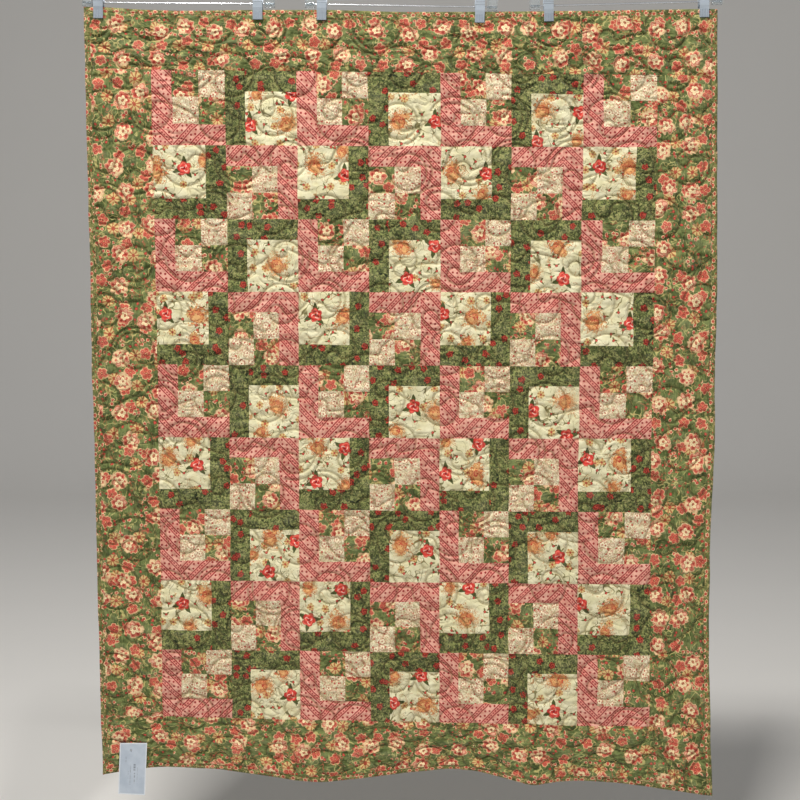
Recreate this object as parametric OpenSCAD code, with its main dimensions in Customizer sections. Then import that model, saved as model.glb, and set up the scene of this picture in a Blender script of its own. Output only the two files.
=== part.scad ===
// A patchwork quilt held by six spring clips on three clear skirt hangers, which hang from
// the rail of a free-standing tube rack. The quilt's front faces -Y, the floor is z = 0,
// and the quilt's middle plane is y = 0.

/* [Quilt] */
// Finished side of one pieced block
block = 127; // [124:0.5:128]
// Number of block columns
cols = 7; // [5:2:7]
// Number of block rows
rows = 9; // [7:2:9]
// Width of the border outside the blocks, binding included
border_w = 114.3; // [108:0.1:116]
// Visible width of the folded binding on each face
binding_w = 10; // [8:0.5:14]
// Height of the quilt's top edge above the floor
quilt_top = 1619.5; // [1616:0.5:1620]
// Thickness of the batting
batting_t = 4; // [3.6:0.1:4.4]
// Thickness of the pieced top, and of the backing
cloth_t = 1; // [0.8:0.1:1]

/* [Hangers] */
// Half the length of a hanger's rod
rod_half = 169; // [168:0.5:169.5]
// Diameter of the rod the clips ride on
rod_d = 3; // [2.8:0.1:3]
// Diameter of the hook's wire
hook_wire_d = 3.2; // [3:0.1:3.2]
// Inner radius of the hook
hook_r = 19; // [18.5:0.1:19.5]
// Thickness of the clear body's middle web
web_t = 1.6; // [1.2:0.1:2.4]
// Depth of the clear body's edge flanges
flange_t = 7; // [6:0.5:8]

/* [Clips] */
// Width of a clip
clip_w = 17; // [17:0.5:19]
// Reach of the jaws below the rod
jaw_len = 28; // [24:0.5:28]
// Reach of the thumb press above the rod
thumb_len = 18; // [16:0.5:20]
// Thickness of the clip's steel
steel_t = 0.8; // [0.6:0.1:0.9]

/* [Rack] */
// Distance of each upright from the middle
upright_x = 790; // [780:5:820]
// Outer diameter of the uprights
upright_d = 38; // [36:1:40]
// Outer diameter of the rail's fixed tube
rail_d = 32; // [31:0.5:32]
// Outer diameter of the rail's sliding tube
inner_d = 28; // [27:0.5:28]
// Height of the rail's axis
rail_z = 1750.5; // [1750:0.5:1752]
// Side of each square base plate
base_w = 400; // [360:10:440]
// Thickness of the base plates
base_t = 6; // [5:0.5:8]

/* [Card] */
// Width of the label card
card_w = 50.8; // [45:0.1:60]
// Height of the label card
card_h = 88.9; // [80:0.1:95]

/* [Hidden] */
$fn = 64;

// Hangers: the rod's middle, how far the hanger leans, and its two clips
hang_x = [-391, 2, 399];
hang_z = [1632.8, 1628.6, 1632.2];
hang_tilt = [0.45, 0.93, -1.5];
clip_dx = [-141, 140, -140, 139, -137, 137];

// Quilt
qw = cols * block + 2 * border_w;
qh = rows * block + 2 * border_w;
q_bot = quilt_top - qh;
y_face = -batting_t / 2 - cloth_t;
gx0 = -cols * block / 2;
gz1 = quilt_top - border_w;
seam = 0.15;
strip = block * 0.28;
small = block * 0.36;
bind_t = 0.5;

// Clip
pad_t = 1.2;
face_gap = 0.3;
jaw_y = batting_t / 2 + cloth_t + bind_t + face_gap;
pin_gap = 0.08;

// Rack
foot_t = 3;
base_top = foot_t + base_t;
spigot_h = 120;
upright_top = 1796;
tube_wall = 1.8;
hook_drop = 2.7;
outer_end = 470;
inner_start = 20;
rail_end = upright_x - upright_d / 2 - 8;

// ---- helpers ----

// Box from its two corners
module span(a, b) { translate(a) cube([for (i = [0:2]) b[i] - a[i]]); }

// Map a flat outline drawn in XZ to a plate between two depths
module plate_xz(y0, y1) { translate([0, y1, 0]) rotate([90, 0, 0]) linear_extrude(height = y1 - y0) children(); }

// Map an outline drawn in YZ to a bar along X
module bar_x(x0, x1) { translate([x0, 0, 0]) rotate([90, 0, 90]) linear_extrude(height = x1 - x0) children(); }

// Bring a hanger's own frame (origin at the middle of its rod) to its place
module at_hanger(i) { translate([hang_x[i], 0, hang_z[i]]) rotate([0, hang_tilt[i], 0]) children(); }

// Bring a clip's own frame (origin on the rod's axis) to its place
module at_clip(k) { at_hanger(floor(k / 2)) translate([clip_dx[k], 0, 0]) children(); }

// Shrink a closed outline by t along its corner bisectors
function unit(v) = v / norm(v);
function inset(p, t) = [for (i = [0:len(p) - 1]) let (
    a = unit(p[i] - p[(i + len(p) - 1) % len(p)]),
    b = unit(p[(i + 1) % len(p)] - p[i]),
    na = [a[1], -a[0]], nb = [b[1], -b[0]],
    m = unit(na + nb)) p[i] + m * t / (m * na)];

// ---- rack ----

module base_plate(s) {
  color([0.16, 0.16, 0.17]) difference() {
    translate([s * upright_x, 0, foot_t]) union() {
      linear_extrude(height = base_t) {
        square([base_w, base_w - 40], center = true);
        square([base_w - 40, base_w], center = true);
        for (i = [-1, 1], j = [-1, 1]) translate([i * (base_w / 2 - 20), j * (base_w / 2 - 20)]) circle(r = 20);
      }
    }
    for (a = [45:90:359]) translate([s * upright_x, 0, 0]) rotate([0, 0, a]) translate([33, 0, 0]) cylinder(r = 3.3, h = 20);
  }
}

module base_spigot(s) {
  color([0.62, 0.63, 0.65]) translate([s * upright_x, 0, base_top]) {
    difference() {
      union() { cylinder(r = 44, h = 5); cylinder(r = upright_d / 2 - 1.5 - 0.1, h = spigot_h); }
      translate([0, 0, -1]) cylinder(r = upright_d / 2 - 5, h = spigot_h + 2);
    }
    for (a = [45:90:359]) rotate([0, 0, a]) translate([33, 0, 5]) { cylinder(r = 6, h = 3); cylinder(r = 3.2, h = 4.5); }
  }
}

module feet(s) {
  color([0.08, 0.08, 0.08]) for (i = [-1, 1], j = [-1, 1])
    translate([s * upright_x + i * (base_w / 2 - 30), j * (base_w / 2 - 30), 0]) cylinder(r1 = 14, r2 = 16, h = foot_t);
}

module upright(s) {
  color([0.74, 0.75, 0.77]) difference() {
    translate([s * upright_x, 0, base_top + 5]) cylinder(r = upright_d / 2, h = upright_top - base_top - 5);
    translate([s * upright_x, 0, base_top]) cylinder(r = upright_d / 2 - 1.5, h = upright_top);
    // slot for the crossbar's end hook
    translate([s * (upright_x - upright_d / 2), 0, rail_z]) cube([12, 6.4, 32], center = true);
  }
}

module cap(s) {
  color([0.1, 0.1, 0.1]) translate([s * upright_x, 0, upright_top]) {
    cylinder(r = upright_d / 2, h = 2);
    translate([0, 0, 2]) cylinder(r1 = upright_d / 2, r2 = upright_d / 2 - 2, h = 2);
    translate([0, 0, -16]) cylinder(r = upright_d / 2 - 1.55, h = 16);
  }
}

module crossbar_outer() {
  color([0.74, 0.75, 0.77]) difference() {
    translate([-rail_end, 0, rail_z]) rotate([0, 90, 0]) cylinder(r = rail_d / 2, h = rail_end + outer_end);
    translate([-rail_end - 1, 0, rail_z]) rotate([0, 90, 0]) cylinder(r = inner_d / 2 + pin_gap, h = rail_end + outer_end + 2);
    translate([outer_end - 16, 0, rail_z]) rotate([-90, 0, 0]) cylinder(r = 3.3, h = 30);
  }
}

module crossbar_inner() {
  color([0.78, 0.79, 0.8]) difference() {
    translate([inner_start, 0, rail_z]) rotate([0, 90, 0]) cylinder(r = inner_d / 2, h = rail_end - inner_start);
    translate([inner_start - 1, 0, rail_z]) rotate([0, 90, 0]) cylinder(r = inner_d / 2 - 1.6, h = rail_end - inner_start + 2);
  }
}

// Flat hook at the crossbar's end that drops into the upright's slot
module crossbar_hook(s, bore_r) {
  color([0.5, 0.5, 0.52]) {
    translate([s * rail_end, 0, rail_z]) rotate([0, -s * 90, 0]) cylinder(r = bore_r - 0.05, h = 26);
    mirror([s > 0 ? 0 : 1, 0, 0]) plate_xz(-2.6, 2.6) translate([0, rail_z]) polygon([
      [rail_end - 1, -11], [upright_x - upright_d / 2 - 0.2, -11], [upright_x - upright_d / 2 - 0.2, -15.8],
      [upright_x - upright_d / 2 + 2, -15.8], [upright_x - upright_d / 2 + 2, -28],
      [upright_x - upright_d / 2 + 7, -24], [upright_x - upright_d / 2 + 9, -8],
      [upright_x - upright_d / 2 + 4, 12], [rail_end - 1, 12]]);
  }
}

module lock_collar() {
  color([0.12, 0.12, 0.13]) difference() {
    union() {
      translate([outer_end - 28, 0, rail_z]) rotate([0, 90, 0]) cylinder(r = 21, h = 24);
      translate([outer_end - 16, 15, rail_z]) rotate([-90, 0, 0]) cylinder(r = 8, h = 15);
    }
    translate([outer_end - 40, 0, rail_z]) rotate([0, 90, 0]) cylinder(r = rail_d / 2 + 0.05, h = 60);
    translate([outer_end - 16, 0, rail_z]) rotate([-90, 0, 0]) cylinder(r = 3 + pin_gap, h = 60);
  }
}

module lock_knob() {
  color([0.1, 0.1, 0.11]) translate([outer_end - 16, 0, rail_z]) rotate([-90, 0, 0]) {
    translate([0, 0, inner_d / 2 + 0.4]) cylinder(r = 3, h = 20);
    difference() {
      translate([0, 0, 30.6]) { cylinder(r = 9, h = 4); translate([0, 0, 3]) cylinder(r = 17, h = 11); }
      for (a = [0:60:359]) rotate([0, 0, a]) translate([19, 0, 30]) cylinder(r = 5, h = 20);
    }
  }
}

// ---- hangers ----

half = [[0, 55], [60, 53], [142, 42], [152, 36], [152, -5.5], [170, -5.5], [170, 44], [148, 56], [60, 68], [0, 70]];
arch = concat([for (p = half) p], [for (i = [len(half) - 2:-1:1]) [-half[i][0], half[i][1]]]);

module hanger_body(i) {
  color([0.85, 0.88, 0.9, 0.5]) at_hanger(i) difference() {
    union() {
      plate_xz(-flange_t / 2, flange_t / 2) difference() { polygon(arch); polygon(inset(arch, -1.7)); }
      plate_xz(-web_t / 2, web_t / 2) polygon(inset(arch, -0.8));
      translate([0, 0, 52]) cylinder(r = 7, h = 20);
      for (s = [-1, 1]) translate([s * 161, 0, 0]) rotate([0, 90, 0]) cylinder(r = 3.6, h = 17.6, center = true);
    }
    translate([0, 0, 40]) cylinder(r = hook_wire_d / 2 + pin_gap, h = 40);
    translate([-rod_half - 5, 0, 0]) rotate([0, 90, 0]) cylinder(r = rod_d / 2 + 0.05, h = 2 * rod_half + 10);
  }
}

module hanger_hook(i) {
  wr = hook_wire_d / 2;
  cr = hook_r + wr;
  lh = rail_z - hook_drop - hang_z[i];
  drop = 36;
  lean = asin(cr / drop);
  color([0.72, 0.73, 0.75]) at_hanger(i) {
    translate([0, 0, 49.7]) cylinder(r = 3.5, h = 2);
    translate([0, 0, 50]) cylinder(r = wr, h = lh - drop - 50);
    translate([0, 0, lh - drop]) sphere(r = wr + 0.15);
    translate([0, 0, lh - drop]) rotate([lean, 0, 0]) cylinder(r = wr, h = sqrt(drop * drop - cr * cr));
    translate([0, 0, lh]) rotate([90, 0, 90]) rotate([0, 0, -5]) rotate_extrude(angle = 185 + lean) translate([cr, 0]) circle(r = wr);
    translate([0, cr * cos(-5), lh + cr * sin(-5)]) sphere(r = wr + 0.5);
    translate([0, cr * cos(180 + lean), lh + cr * sin(180 + lean)]) sphere(r = wr + 0.1);
  }
}

module hanger_rod(i) {
  color([0.7, 0.71, 0.73]) at_hanger(i) translate([-rod_half, 0, 0]) rotate([0, 90, 0]) cylinder(r = rod_d / 2, h = 2 * rod_half);
}

// ---- clips ----

// Outline of a plate in YZ, from its jaw to its thumb press. s is -1 for the front, jy the jaw's inner face
function press(s, jy, k, n) = let (t = k / n, b = [6.9 + 3.4 * t, 2 + (thumb_len - 2) * t], bump = (k % 2 == 1 ? 0.5 : 0))
    [s * (b[0] + bump * 0.978), b[1] - bump * 0.21];
function clip_outline(s, jy) = concat(
    [[s * jy, -jaw_len], [s * jy, -13], [s * 6.1, -7], [s * 6.1, 2], [s * 9.5, thumb_len]],
    [for (k = [12:-1:0]) press(s, jy, k, 12)],
    [[s * 6.9, -7.2], [s * (jy + steel_t), -13.2], [s * (jy + steel_t), -jaw_len]]);

// Vertical flutes on the jaw's outside
module flutes(s, y0) {
  n = 6;
  w = clip_w / n;
  translate([0, 0, -jaw_len + 0.6]) linear_extrude(height = jaw_len - 14.2) polygon(concat(
    [[-clip_w / 2, s * y0]],
    [for (k = [0:2 * n]) [-clip_w / 2 + k * w / 2, s * (y0 + 0.1 + (k % 2 == 1 ? 0.8 : 0))]],
    [[clip_w / 2, s * y0]]));
}

// Side cheeks that ride on the rod
module cheeks(s, x0) {
  for (m = [-1, 1]) bar_x(m * x0 - steel_t / 2, m * x0 + steel_t / 2) difference() {
    union() { circle(r = 3.5); polygon([[s * 6.3, -6.5], [s * 6.3, 5], [0, 3.4], [0, -3.4]]); }
    circle(r = rod_d / 2 + pin_gap);
  }
}

module clip_back(k) {
  color([0.66, 0.67, 0.69]) at_clip(k) {
    bar_x(-clip_w / 2, clip_w / 2) polygon(clip_outline(1, jaw_y));
    flutes(1, jaw_y + steel_t - 0.1);
    cheeks(1, clip_w / 2 - 1.9);
  }
}

module clip_front(k) {
  color([0.7, 0.71, 0.73]) at_clip(k) {
    bar_x(-clip_w / 2, clip_w / 2) polygon(clip_outline(-1, jaw_y + pad_t));
    flutes(-1, jaw_y + pad_t + steel_t - 0.1);
    cheeks(-1, clip_w / 2 - steel_t / 2);
  }
}

module clip_spring(k) {
  n = 9;
  color([0.5, 0.5, 0.52]) at_clip(k) {
    rotate([0, 90, 0]) rotate_extrude() polygon(concat(
      [[2, -n / 2]],
      [for (j = [0:n - 1], a = [-80:40:80]) [2.9 + 0.5 * cos(a), -n / 2 + 0.5 + j + 0.5 * sin(a)]],
      [[2, n / 2]]));
    for (s = [-1, 1]) translate([s * 4, s * 2.85, 0]) rotate([-s * 12, 0, 0]) cylinder(r = 0.45, h = 3.7);
  }
}

module clip_pad(k) {
  color([0.1, 0.1, 0.11]) at_clip(k) difference() {
    span([-clip_w / 2 + 0.4, -jaw_y - pad_t, -jaw_len - 0.3], [clip_w / 2 - 0.4, -jaw_y, -jaw_len + 8]);
    for (j = [0:2]) translate([0, -jaw_y, -jaw_len + 1.6 + 2.2 * j]) rotate([0, 90, 0]) cylinder(r = 0.45, h = 30, center = true);
  }
}

// ---- quilt ----

// One patch: lower-left corner, width and height, within the block grid
module patch(x, z, w, h) { span([x + seam, y_face, z + seam], [x + w - seam, y_face + cloth_t, z + h - seam]); }

// Draw children in a block's own frame. Odd rows hold the blocks turned half round.
module blocks(pink) {
  for (r = [0:rows - 1], c = [0:cols - 1]) {
    turned = r % 2 == 1;
    is_pink = turned ? c % 2 == 1 : c % 2 == 0;
    if (is_pink == pink)
      translate([gx0 + (c + 0.5) * block, 0, gz1 - (r + 0.5) * block])
        place_block(turned) children();
  }
}
// A half turn within the quilt's plane
module place_block(turned) { if (turned) rotate([0, 180, 0]) children(); else children(); }

b0 = -block / 2;
module pink_strips() { color([0.85, 0.53, 0.46]) blocks(true) {
  patch(b0, b0, strip, block);
  patch(b0 + strip, b0, block - strip, strip);
} }
module green_strips() { color([0.29, 0.37, 0.2]) blocks(false) {
  patch(b0, b0, strip, block);
  patch(b0 + strip, -b0 - strip, block - strip, strip);
} }
module rose_squares() { color([0.88, 0.84, 0.68]) blocks(false) patch(b0 + strip, b0, block - strip, block - strip); }
module cream_squares() { color([0.84, 0.78, 0.62]) blocks(true) {
  patch(b0 + strip + small, b0 + strip + small, small, small);
  patch(b0 + strip, b0 + strip, small, small);
} }
module floral_squares() { color([0.5, 0.52, 0.36]) blocks(true) {
  patch(b0 + strip, b0 + strip + small, small, small);
  patch(b0 + strip + small, b0 + strip, small, small);
} }

module quilt_border() {
  color([0.45, 0.48, 0.3]) {
    e = bind_t;
    for (s = [-1, 1]) {
      x = s < 0 ? -qw / 2 + e : qw / 2 - border_w;
      span([x + (s < 0 ? 0 : seam), y_face, q_bot + border_w + seam], [x + border_w - e - (s < 0 ? seam : 0), y_face + cloth_t, quilt_top - border_w - seam]);
    }
    span([-qw / 2 + e, y_face, quilt_top - border_w + seam], [qw / 2 - e, y_face + cloth_t, quilt_top - e]);
    span([-qw / 2 + e, y_face, q_bot + e], [qw / 2 - e, y_face + cloth_t, q_bot + border_w - seam]);
  }
}

module quilt_batting() { color([0.93, 0.92, 0.88]) span([-qw / 2 + bind_t, -batting_t / 2, q_bot + bind_t], [qw / 2 - bind_t, batting_t / 2, quilt_top - bind_t]); }
module quilt_backing() { color([0.86, 0.83, 0.74]) span([-qw / 2 + bind_t, batting_t / 2, q_bot + bind_t], [qw / 2 - bind_t, batting_t / 2 + cloth_t, quilt_top - bind_t]); }

// Folded strip round the quilt's edge
module quilt_binding() {
  yo = -y_face + bind_t;
  color([0.36, 0.4, 0.24]) difference() {
    span([-qw / 2, -yo, q_bot], [qw / 2, yo, quilt_top]);
    span([-qw / 2 + bind_t, y_face, q_bot + bind_t], [qw / 2 - bind_t, -y_face, quilt_top - bind_t]);
    span([-qw / 2 + binding_w, -20, q_bot + binding_w], [qw / 2 - binding_w, 20, quilt_top - binding_w]);
  }
}

// ---- label card ----
card_x = -492;
card_pin_z = q_bot + 42;
module label_card() {
  color([0.9, 0.92, 0.95]) difference() {
    span([card_x - card_w / 2, -4.6, card_pin_z + 5 - card_h], [card_x + card_w / 2, -4.2, card_pin_z + 5]);
    translate([card_x, 0, card_pin_z]) rotate([90, 0, 0]) cylinder(r = 0.5 + pin_gap, h = 20);
  }
}
module card_pin() {
  color([0.8, 0.8, 0.82]) translate([card_x, 0, card_pin_z]) rotate([90, 0, 0]) {
    translate([0, 0, -y_face + 0.1]) cylinder(r = 0.5, h = 2);
    translate([0, 0, 5]) cylinder(r = 2.2, h = 0.7);
  }
}

base_plate(-1);  // base_plate_left
base_plate(1);  // base_plate_right
base_spigot(-1);  // base_spigot_left
base_spigot(1);  // base_spigot_right
feet(-1);  // feet_left
feet(1);  // feet_right
upright(-1);  // upright_left
upright(1);  // upright_right
cap(-1);  // cap_left
cap(1);  // cap_right
crossbar_outer();
crossbar_inner();
crossbar_hook(-1, inner_d / 2);  // crossbar_hook_left
crossbar_hook(1, inner_d / 2 - 1.6);  // crossbar_hook_right
lock_collar();
lock_knob();
hanger_body(0);  // hanger_body_1
hanger_body(1);  // hanger_body_2
hanger_body(2);  // hanger_body_3
hanger_hook(0);  // hanger_hook_1
hanger_hook(1);  // hanger_hook_2
hanger_hook(2);  // hanger_hook_3
hanger_rod(0);  // hanger_rod_1
hanger_rod(1);  // hanger_rod_2
hanger_rod(2);  // hanger_rod_3
clip_back(0);  // clip_back_1
clip_back(1);  // clip_back_2
clip_back(2);  // clip_back_3
clip_back(3);  // clip_back_4
clip_back(4);  // clip_back_5
clip_back(5);  // clip_back_6
clip_front(0);  // clip_front_1
clip_front(1);  // clip_front_2
clip_front(2);  // clip_front_3
clip_front(3);  // clip_front_4
clip_front(4);  // clip_front_5
clip_front(5);  // clip_front_6
clip_spring(0);  // clip_spring_1
clip_spring(1);  // clip_spring_2
clip_spring(2);  // clip_spring_3
clip_spring(3);  // clip_spring_4
clip_spring(4);  // clip_spring_5
clip_spring(5);  // clip_spring_6
clip_pad(0);  // clip_pad_1
clip_pad(1);  // clip_pad_2
clip_pad(2);  // clip_pad_3
clip_pad(3);  // clip_pad_4
clip_pad(4);  // clip_pad_5
clip_pad(5);  // clip_pad_6
quilt_border();
quilt_binding();
pink_strips();
green_strips();
rose_squares();
cream_squares();
floral_squares();
quilt_batting();
quilt_backing();
label_card();
card_pin();
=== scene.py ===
import math

import bpy
import numpy as np
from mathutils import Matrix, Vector


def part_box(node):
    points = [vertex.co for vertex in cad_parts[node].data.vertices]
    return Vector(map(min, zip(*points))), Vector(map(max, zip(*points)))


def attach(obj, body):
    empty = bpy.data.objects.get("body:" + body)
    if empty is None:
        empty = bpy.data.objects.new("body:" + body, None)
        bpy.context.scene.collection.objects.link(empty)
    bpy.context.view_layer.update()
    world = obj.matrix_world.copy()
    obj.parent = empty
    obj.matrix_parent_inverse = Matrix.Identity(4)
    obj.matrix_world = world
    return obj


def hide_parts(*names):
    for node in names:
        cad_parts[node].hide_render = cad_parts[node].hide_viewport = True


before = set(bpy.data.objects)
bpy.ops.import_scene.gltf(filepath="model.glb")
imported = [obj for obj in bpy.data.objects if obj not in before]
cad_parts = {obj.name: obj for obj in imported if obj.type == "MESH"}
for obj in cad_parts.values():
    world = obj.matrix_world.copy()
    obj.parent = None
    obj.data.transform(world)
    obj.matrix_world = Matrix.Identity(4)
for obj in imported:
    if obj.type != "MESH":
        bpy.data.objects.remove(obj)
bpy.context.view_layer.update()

scene = bpy.context.scene

# ------------------------------------------------------------------ camera
CAM = np.array([0.0, -2.2, 1.077])
PITCH = math.radians(3.8)
LENS = 55.0
F_PX = LENS / 36.0 * 800.0
cam_data = bpy.data.cameras.new("camera")
cam_data.lens = LENS
cam_data.sensor_width = 36.0
cam_data.clip_start = 0.05
cam_data.clip_end = 60.0
cam_data.dof.use_dof = False
camera = bpy.data.objects.new("camera", cam_data)
camera.location = CAM
camera.rotation_euler = (math.pi / 2 - PITCH, 0.0, 0.0)
scene.collection.objects.link(camera)
scene.camera = camera
FWD = np.array([0.0, math.cos(PITCH), -math.sin(PITCH)])
RIGHT = np.array([1.0, 0.0, 0.0])
UP = np.array([0.0, math.sin(PITCH), math.cos(PITCH)])


def on_depth(px, py, y):
    """World X and Z of the view's point px, py (on an 800 by 800 view) at depth y, in metres."""
    a = (px - 400.0) / F_PX
    b = -(py - 400.0) / F_PX
    d = FWD[None, None, :] + a[..., None] * RIGHT + b[..., None] * UP
    t = (y - CAM[1]) / d[..., 1]
    return CAM[0] + t * d[..., 0], CAM[2] + t * d[..., 2]


# ------------------------------------------------------------------ numbers
MM = 0.001
BLOCK, BORDER, QW, QH = 127.0, 114.3, 1117.6, 1371.6
STRIP, SMALL = 0.28 * BLOCK, 0.36 * BLOCK
NC, NR = 7, 9
rng = np.random.RandomState(715)


def perlin(x, y, seed):
    r = np.random.RandomState(seed)
    ang = r.rand(256, 256) * 2 * np.pi
    gx, gy = np.cos(ang), np.sin(ang)
    xi, yi = np.floor(x).astype(int), np.floor(y).astype(int)
    xf, yf = x - xi, y - yi
    u, v = xf * xf * xf * (xf * (xf * 6 - 15) + 10), yf * yf * yf * (yf * (yf * 6 - 15) + 10)

    def dot(i, j):
        a, b = (xi + i) % 256, (yi + j) % 256
        return gx[a, b] * (xf - i) + gy[a, b] * (yf - j)

    n0 = dot(0, 0) * (1 - u) + dot(1, 0) * u
    n1 = dot(0, 1) * (1 - u) + dot(1, 1) * u
    return (n0 * (1 - v) + n1 * v) * 1.5


def smooth(x, a, b):
    t = np.clip((x - a) / (b - a), 0.0, 1.0)
    return t * t * (3 - 2 * t)


# ------------------------------------------------------------------ the quilt's grid, in flat millimetres
EDGE = [0, 0.25, 0.9, 1.9, 3.2, 5.2, 7.4, 9.0, 10.0]
NB = len(EDGE) - 1
side = np.concatenate([EDGE, np.linspace(10.0, BORDER, 63)[1:]])
NS = len(side) - 1
CELLS = 75
u_lines = np.concatenate([-QW / 2 + side, np.linspace(-QW / 2 + BORDER, QW / 2 - BORDER, NC * CELLS + 1)[1:-1], (QW / 2 - side)[::-1]])
v_lines = np.concatenate([side, np.linspace(BORDER, QH - BORDER, NR * CELLS + 1)[1:-1], (QH - side)[::-1]])
U, V = np.meshgrid(u_lines, v_lines)
NU, NV = len(u_lines), len(v_lines)

# Where the hanging quilt's edges and seams lie in the view
K = 766.0 / QH


def curve(v, pts):
    ys = [(p[0] - 10.0) / K for p in pts]
    return np.interp(v, ys, [p[1] for p in pts])


def blur1(a, n, axis):
    k = np.hanning(2 * n + 3)[1:-1]
    k /= k.sum()
    pad = [(0, 0)] * a.ndim
    pad[axis] = (n, n)
    b = np.pad(a, pad, mode="reflect", reflect_type="odd")
    return np.apply_along_axis(lambda r: np.convolve(r, k, mode="valid"), axis, b)


TOPX = np.array([151, 224.5, 296.5, 367.6, 440.8, 511.5, 583.4, 657.6])
BOTX = np.array([163, 232.7, 300.5, 370.4, 438.8, 508.4, 576, 648.7])
ROWL = np.array([69.5, 145.4, 218.9, 291.6, 364.3, 437, 508.4, 579.8, 648.7, 716])
ROWR = np.array([75.3, 147.4, 220.7, 292.9, 366.8, 438.8, 512.2, 584.2, 655, 726.5])
TOPY = np.array([(84, 6.7), (105, 7.1), (140, 9.6), (180, 10.8), (258, 9.9), (330, 9.9), (400, 12), (470, 11.8), (548, 11.2), (640, 10.0), (703, 8.9), (718, 9.2)])
HEMY = np.array([(102.8, 775), (117, 772), (153, 767), (185, 767.4), (217, 768.6), (255, 774), (293, 780), (319, 782.6), (357, 779), (400, 773), (451, 768.6), (476, 771), (502, 777.5),
                 (533, 785.7), (553, 782.6), (579, 780), (617, 782.6), (655, 788), (712, 796)])


def view_grid(us, vs):
    """View position of each flat point: us along X, vs down from the top edge."""
    xl = curve(vs, [(10, 83.7), (100, 85.5), (190, 88), (250, 89.8), (380, 92.3), (425, 94), (555, 97), (600, 98), (775, 102.8)])
    xa = curve(vs, [(10, 149), (72, 151), (219, 155), (365, 158), (715, 163), (775, 164)])
    xb = curve(vs, [(10, 657), (145, 657), (219, 655), (293, 654), (435, 651), (727, 649), (775, 648)])
    xr = curve(vs, [(10, 717.6), (290, 717), (370, 715), (440, 715), (520, 710), (640, 709), (796, 712.5)])
    ft = (TOPX - TOPX[0]) / (TOPX[-1] - TOPX[0])
    fb = (BOTX - BOTX[0]) / (BOTX[-1] - BOTX[0])
    w = np.clip((vs - BORDER) / (QH - 2 * BORDER), 0, 1)
    knots = np.concatenate([[-QW / 2], -QW / 2 + BORDER + BLOCK * np.arange(8), [QW / 2]])
    X = np.zeros((len(vs), len(us)))
    for i in range(len(vs)):
        f = ft * (1 - w[i]) + fb * w[i]
        vals = np.concatenate([[xl[i]], xa[i] + (xb[i] - xa[i]) * f, [xr[i]]])
        X[i] = np.interp(us, knots, vals)
    cu = (us + QW / 2 - BORDER) / (NC * BLOCK)
    ytop = np.interp(X[0], TOPY[:, 0], TOPY[:, 1])
    yhem = np.interp(X[-1], HEMY[:, 0], HEMY[:, 1])
    vk = np.concatenate([[0.0], BORDER + BLOCK * np.arange(10), [QH]])
    Y = np.zeros_like(X)
    for j in range(len(us)):
        vals = np.concatenate([[ytop[j]], ROWL + (ROWR - ROWL) * cu[j], [yhem[j]]])
        Y[:, j] = np.interp(vs, vk, vals)
    return X, Y


def depth_waves(X, vs):
    """How far behind the clips' plane the hanging cloth lies, in metres: soft folds that grow towards the hem."""
    pts = np.array([(90, -3), (118, -1), (147, 2), (180, 14), (225, 12), (270, -6), (319, -20), (360, -8), (405, 10), (451, 19), (490, 4), (533, -24), (575, -10), (605, -6), (640, -12), (712, -26)], float)
    s = np.clip(vs / QH, 0, 1)[:, None]
    hem = np.interp(X, pts[:, 0], pts[:, 1])
    mid = 3.5 * np.sin((X - 120) / 62.0 + 1.5 * s) + 2.5 * np.sin((X - 60) / 27.0 - 2.0 * s)
    top = smooth(vs, 26, 160)[:, None]
    return (hem * s ** 1.7 + mid * top * (0.6 + 0.6 * s)) * MM


# Coarse drape: the flat cloth at its true cut size, pinned at the six clips, settles by simulation
CLIP_PX = [98.3, 258.0, 322.0, 480.0, 548.4, 703.7]


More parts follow.
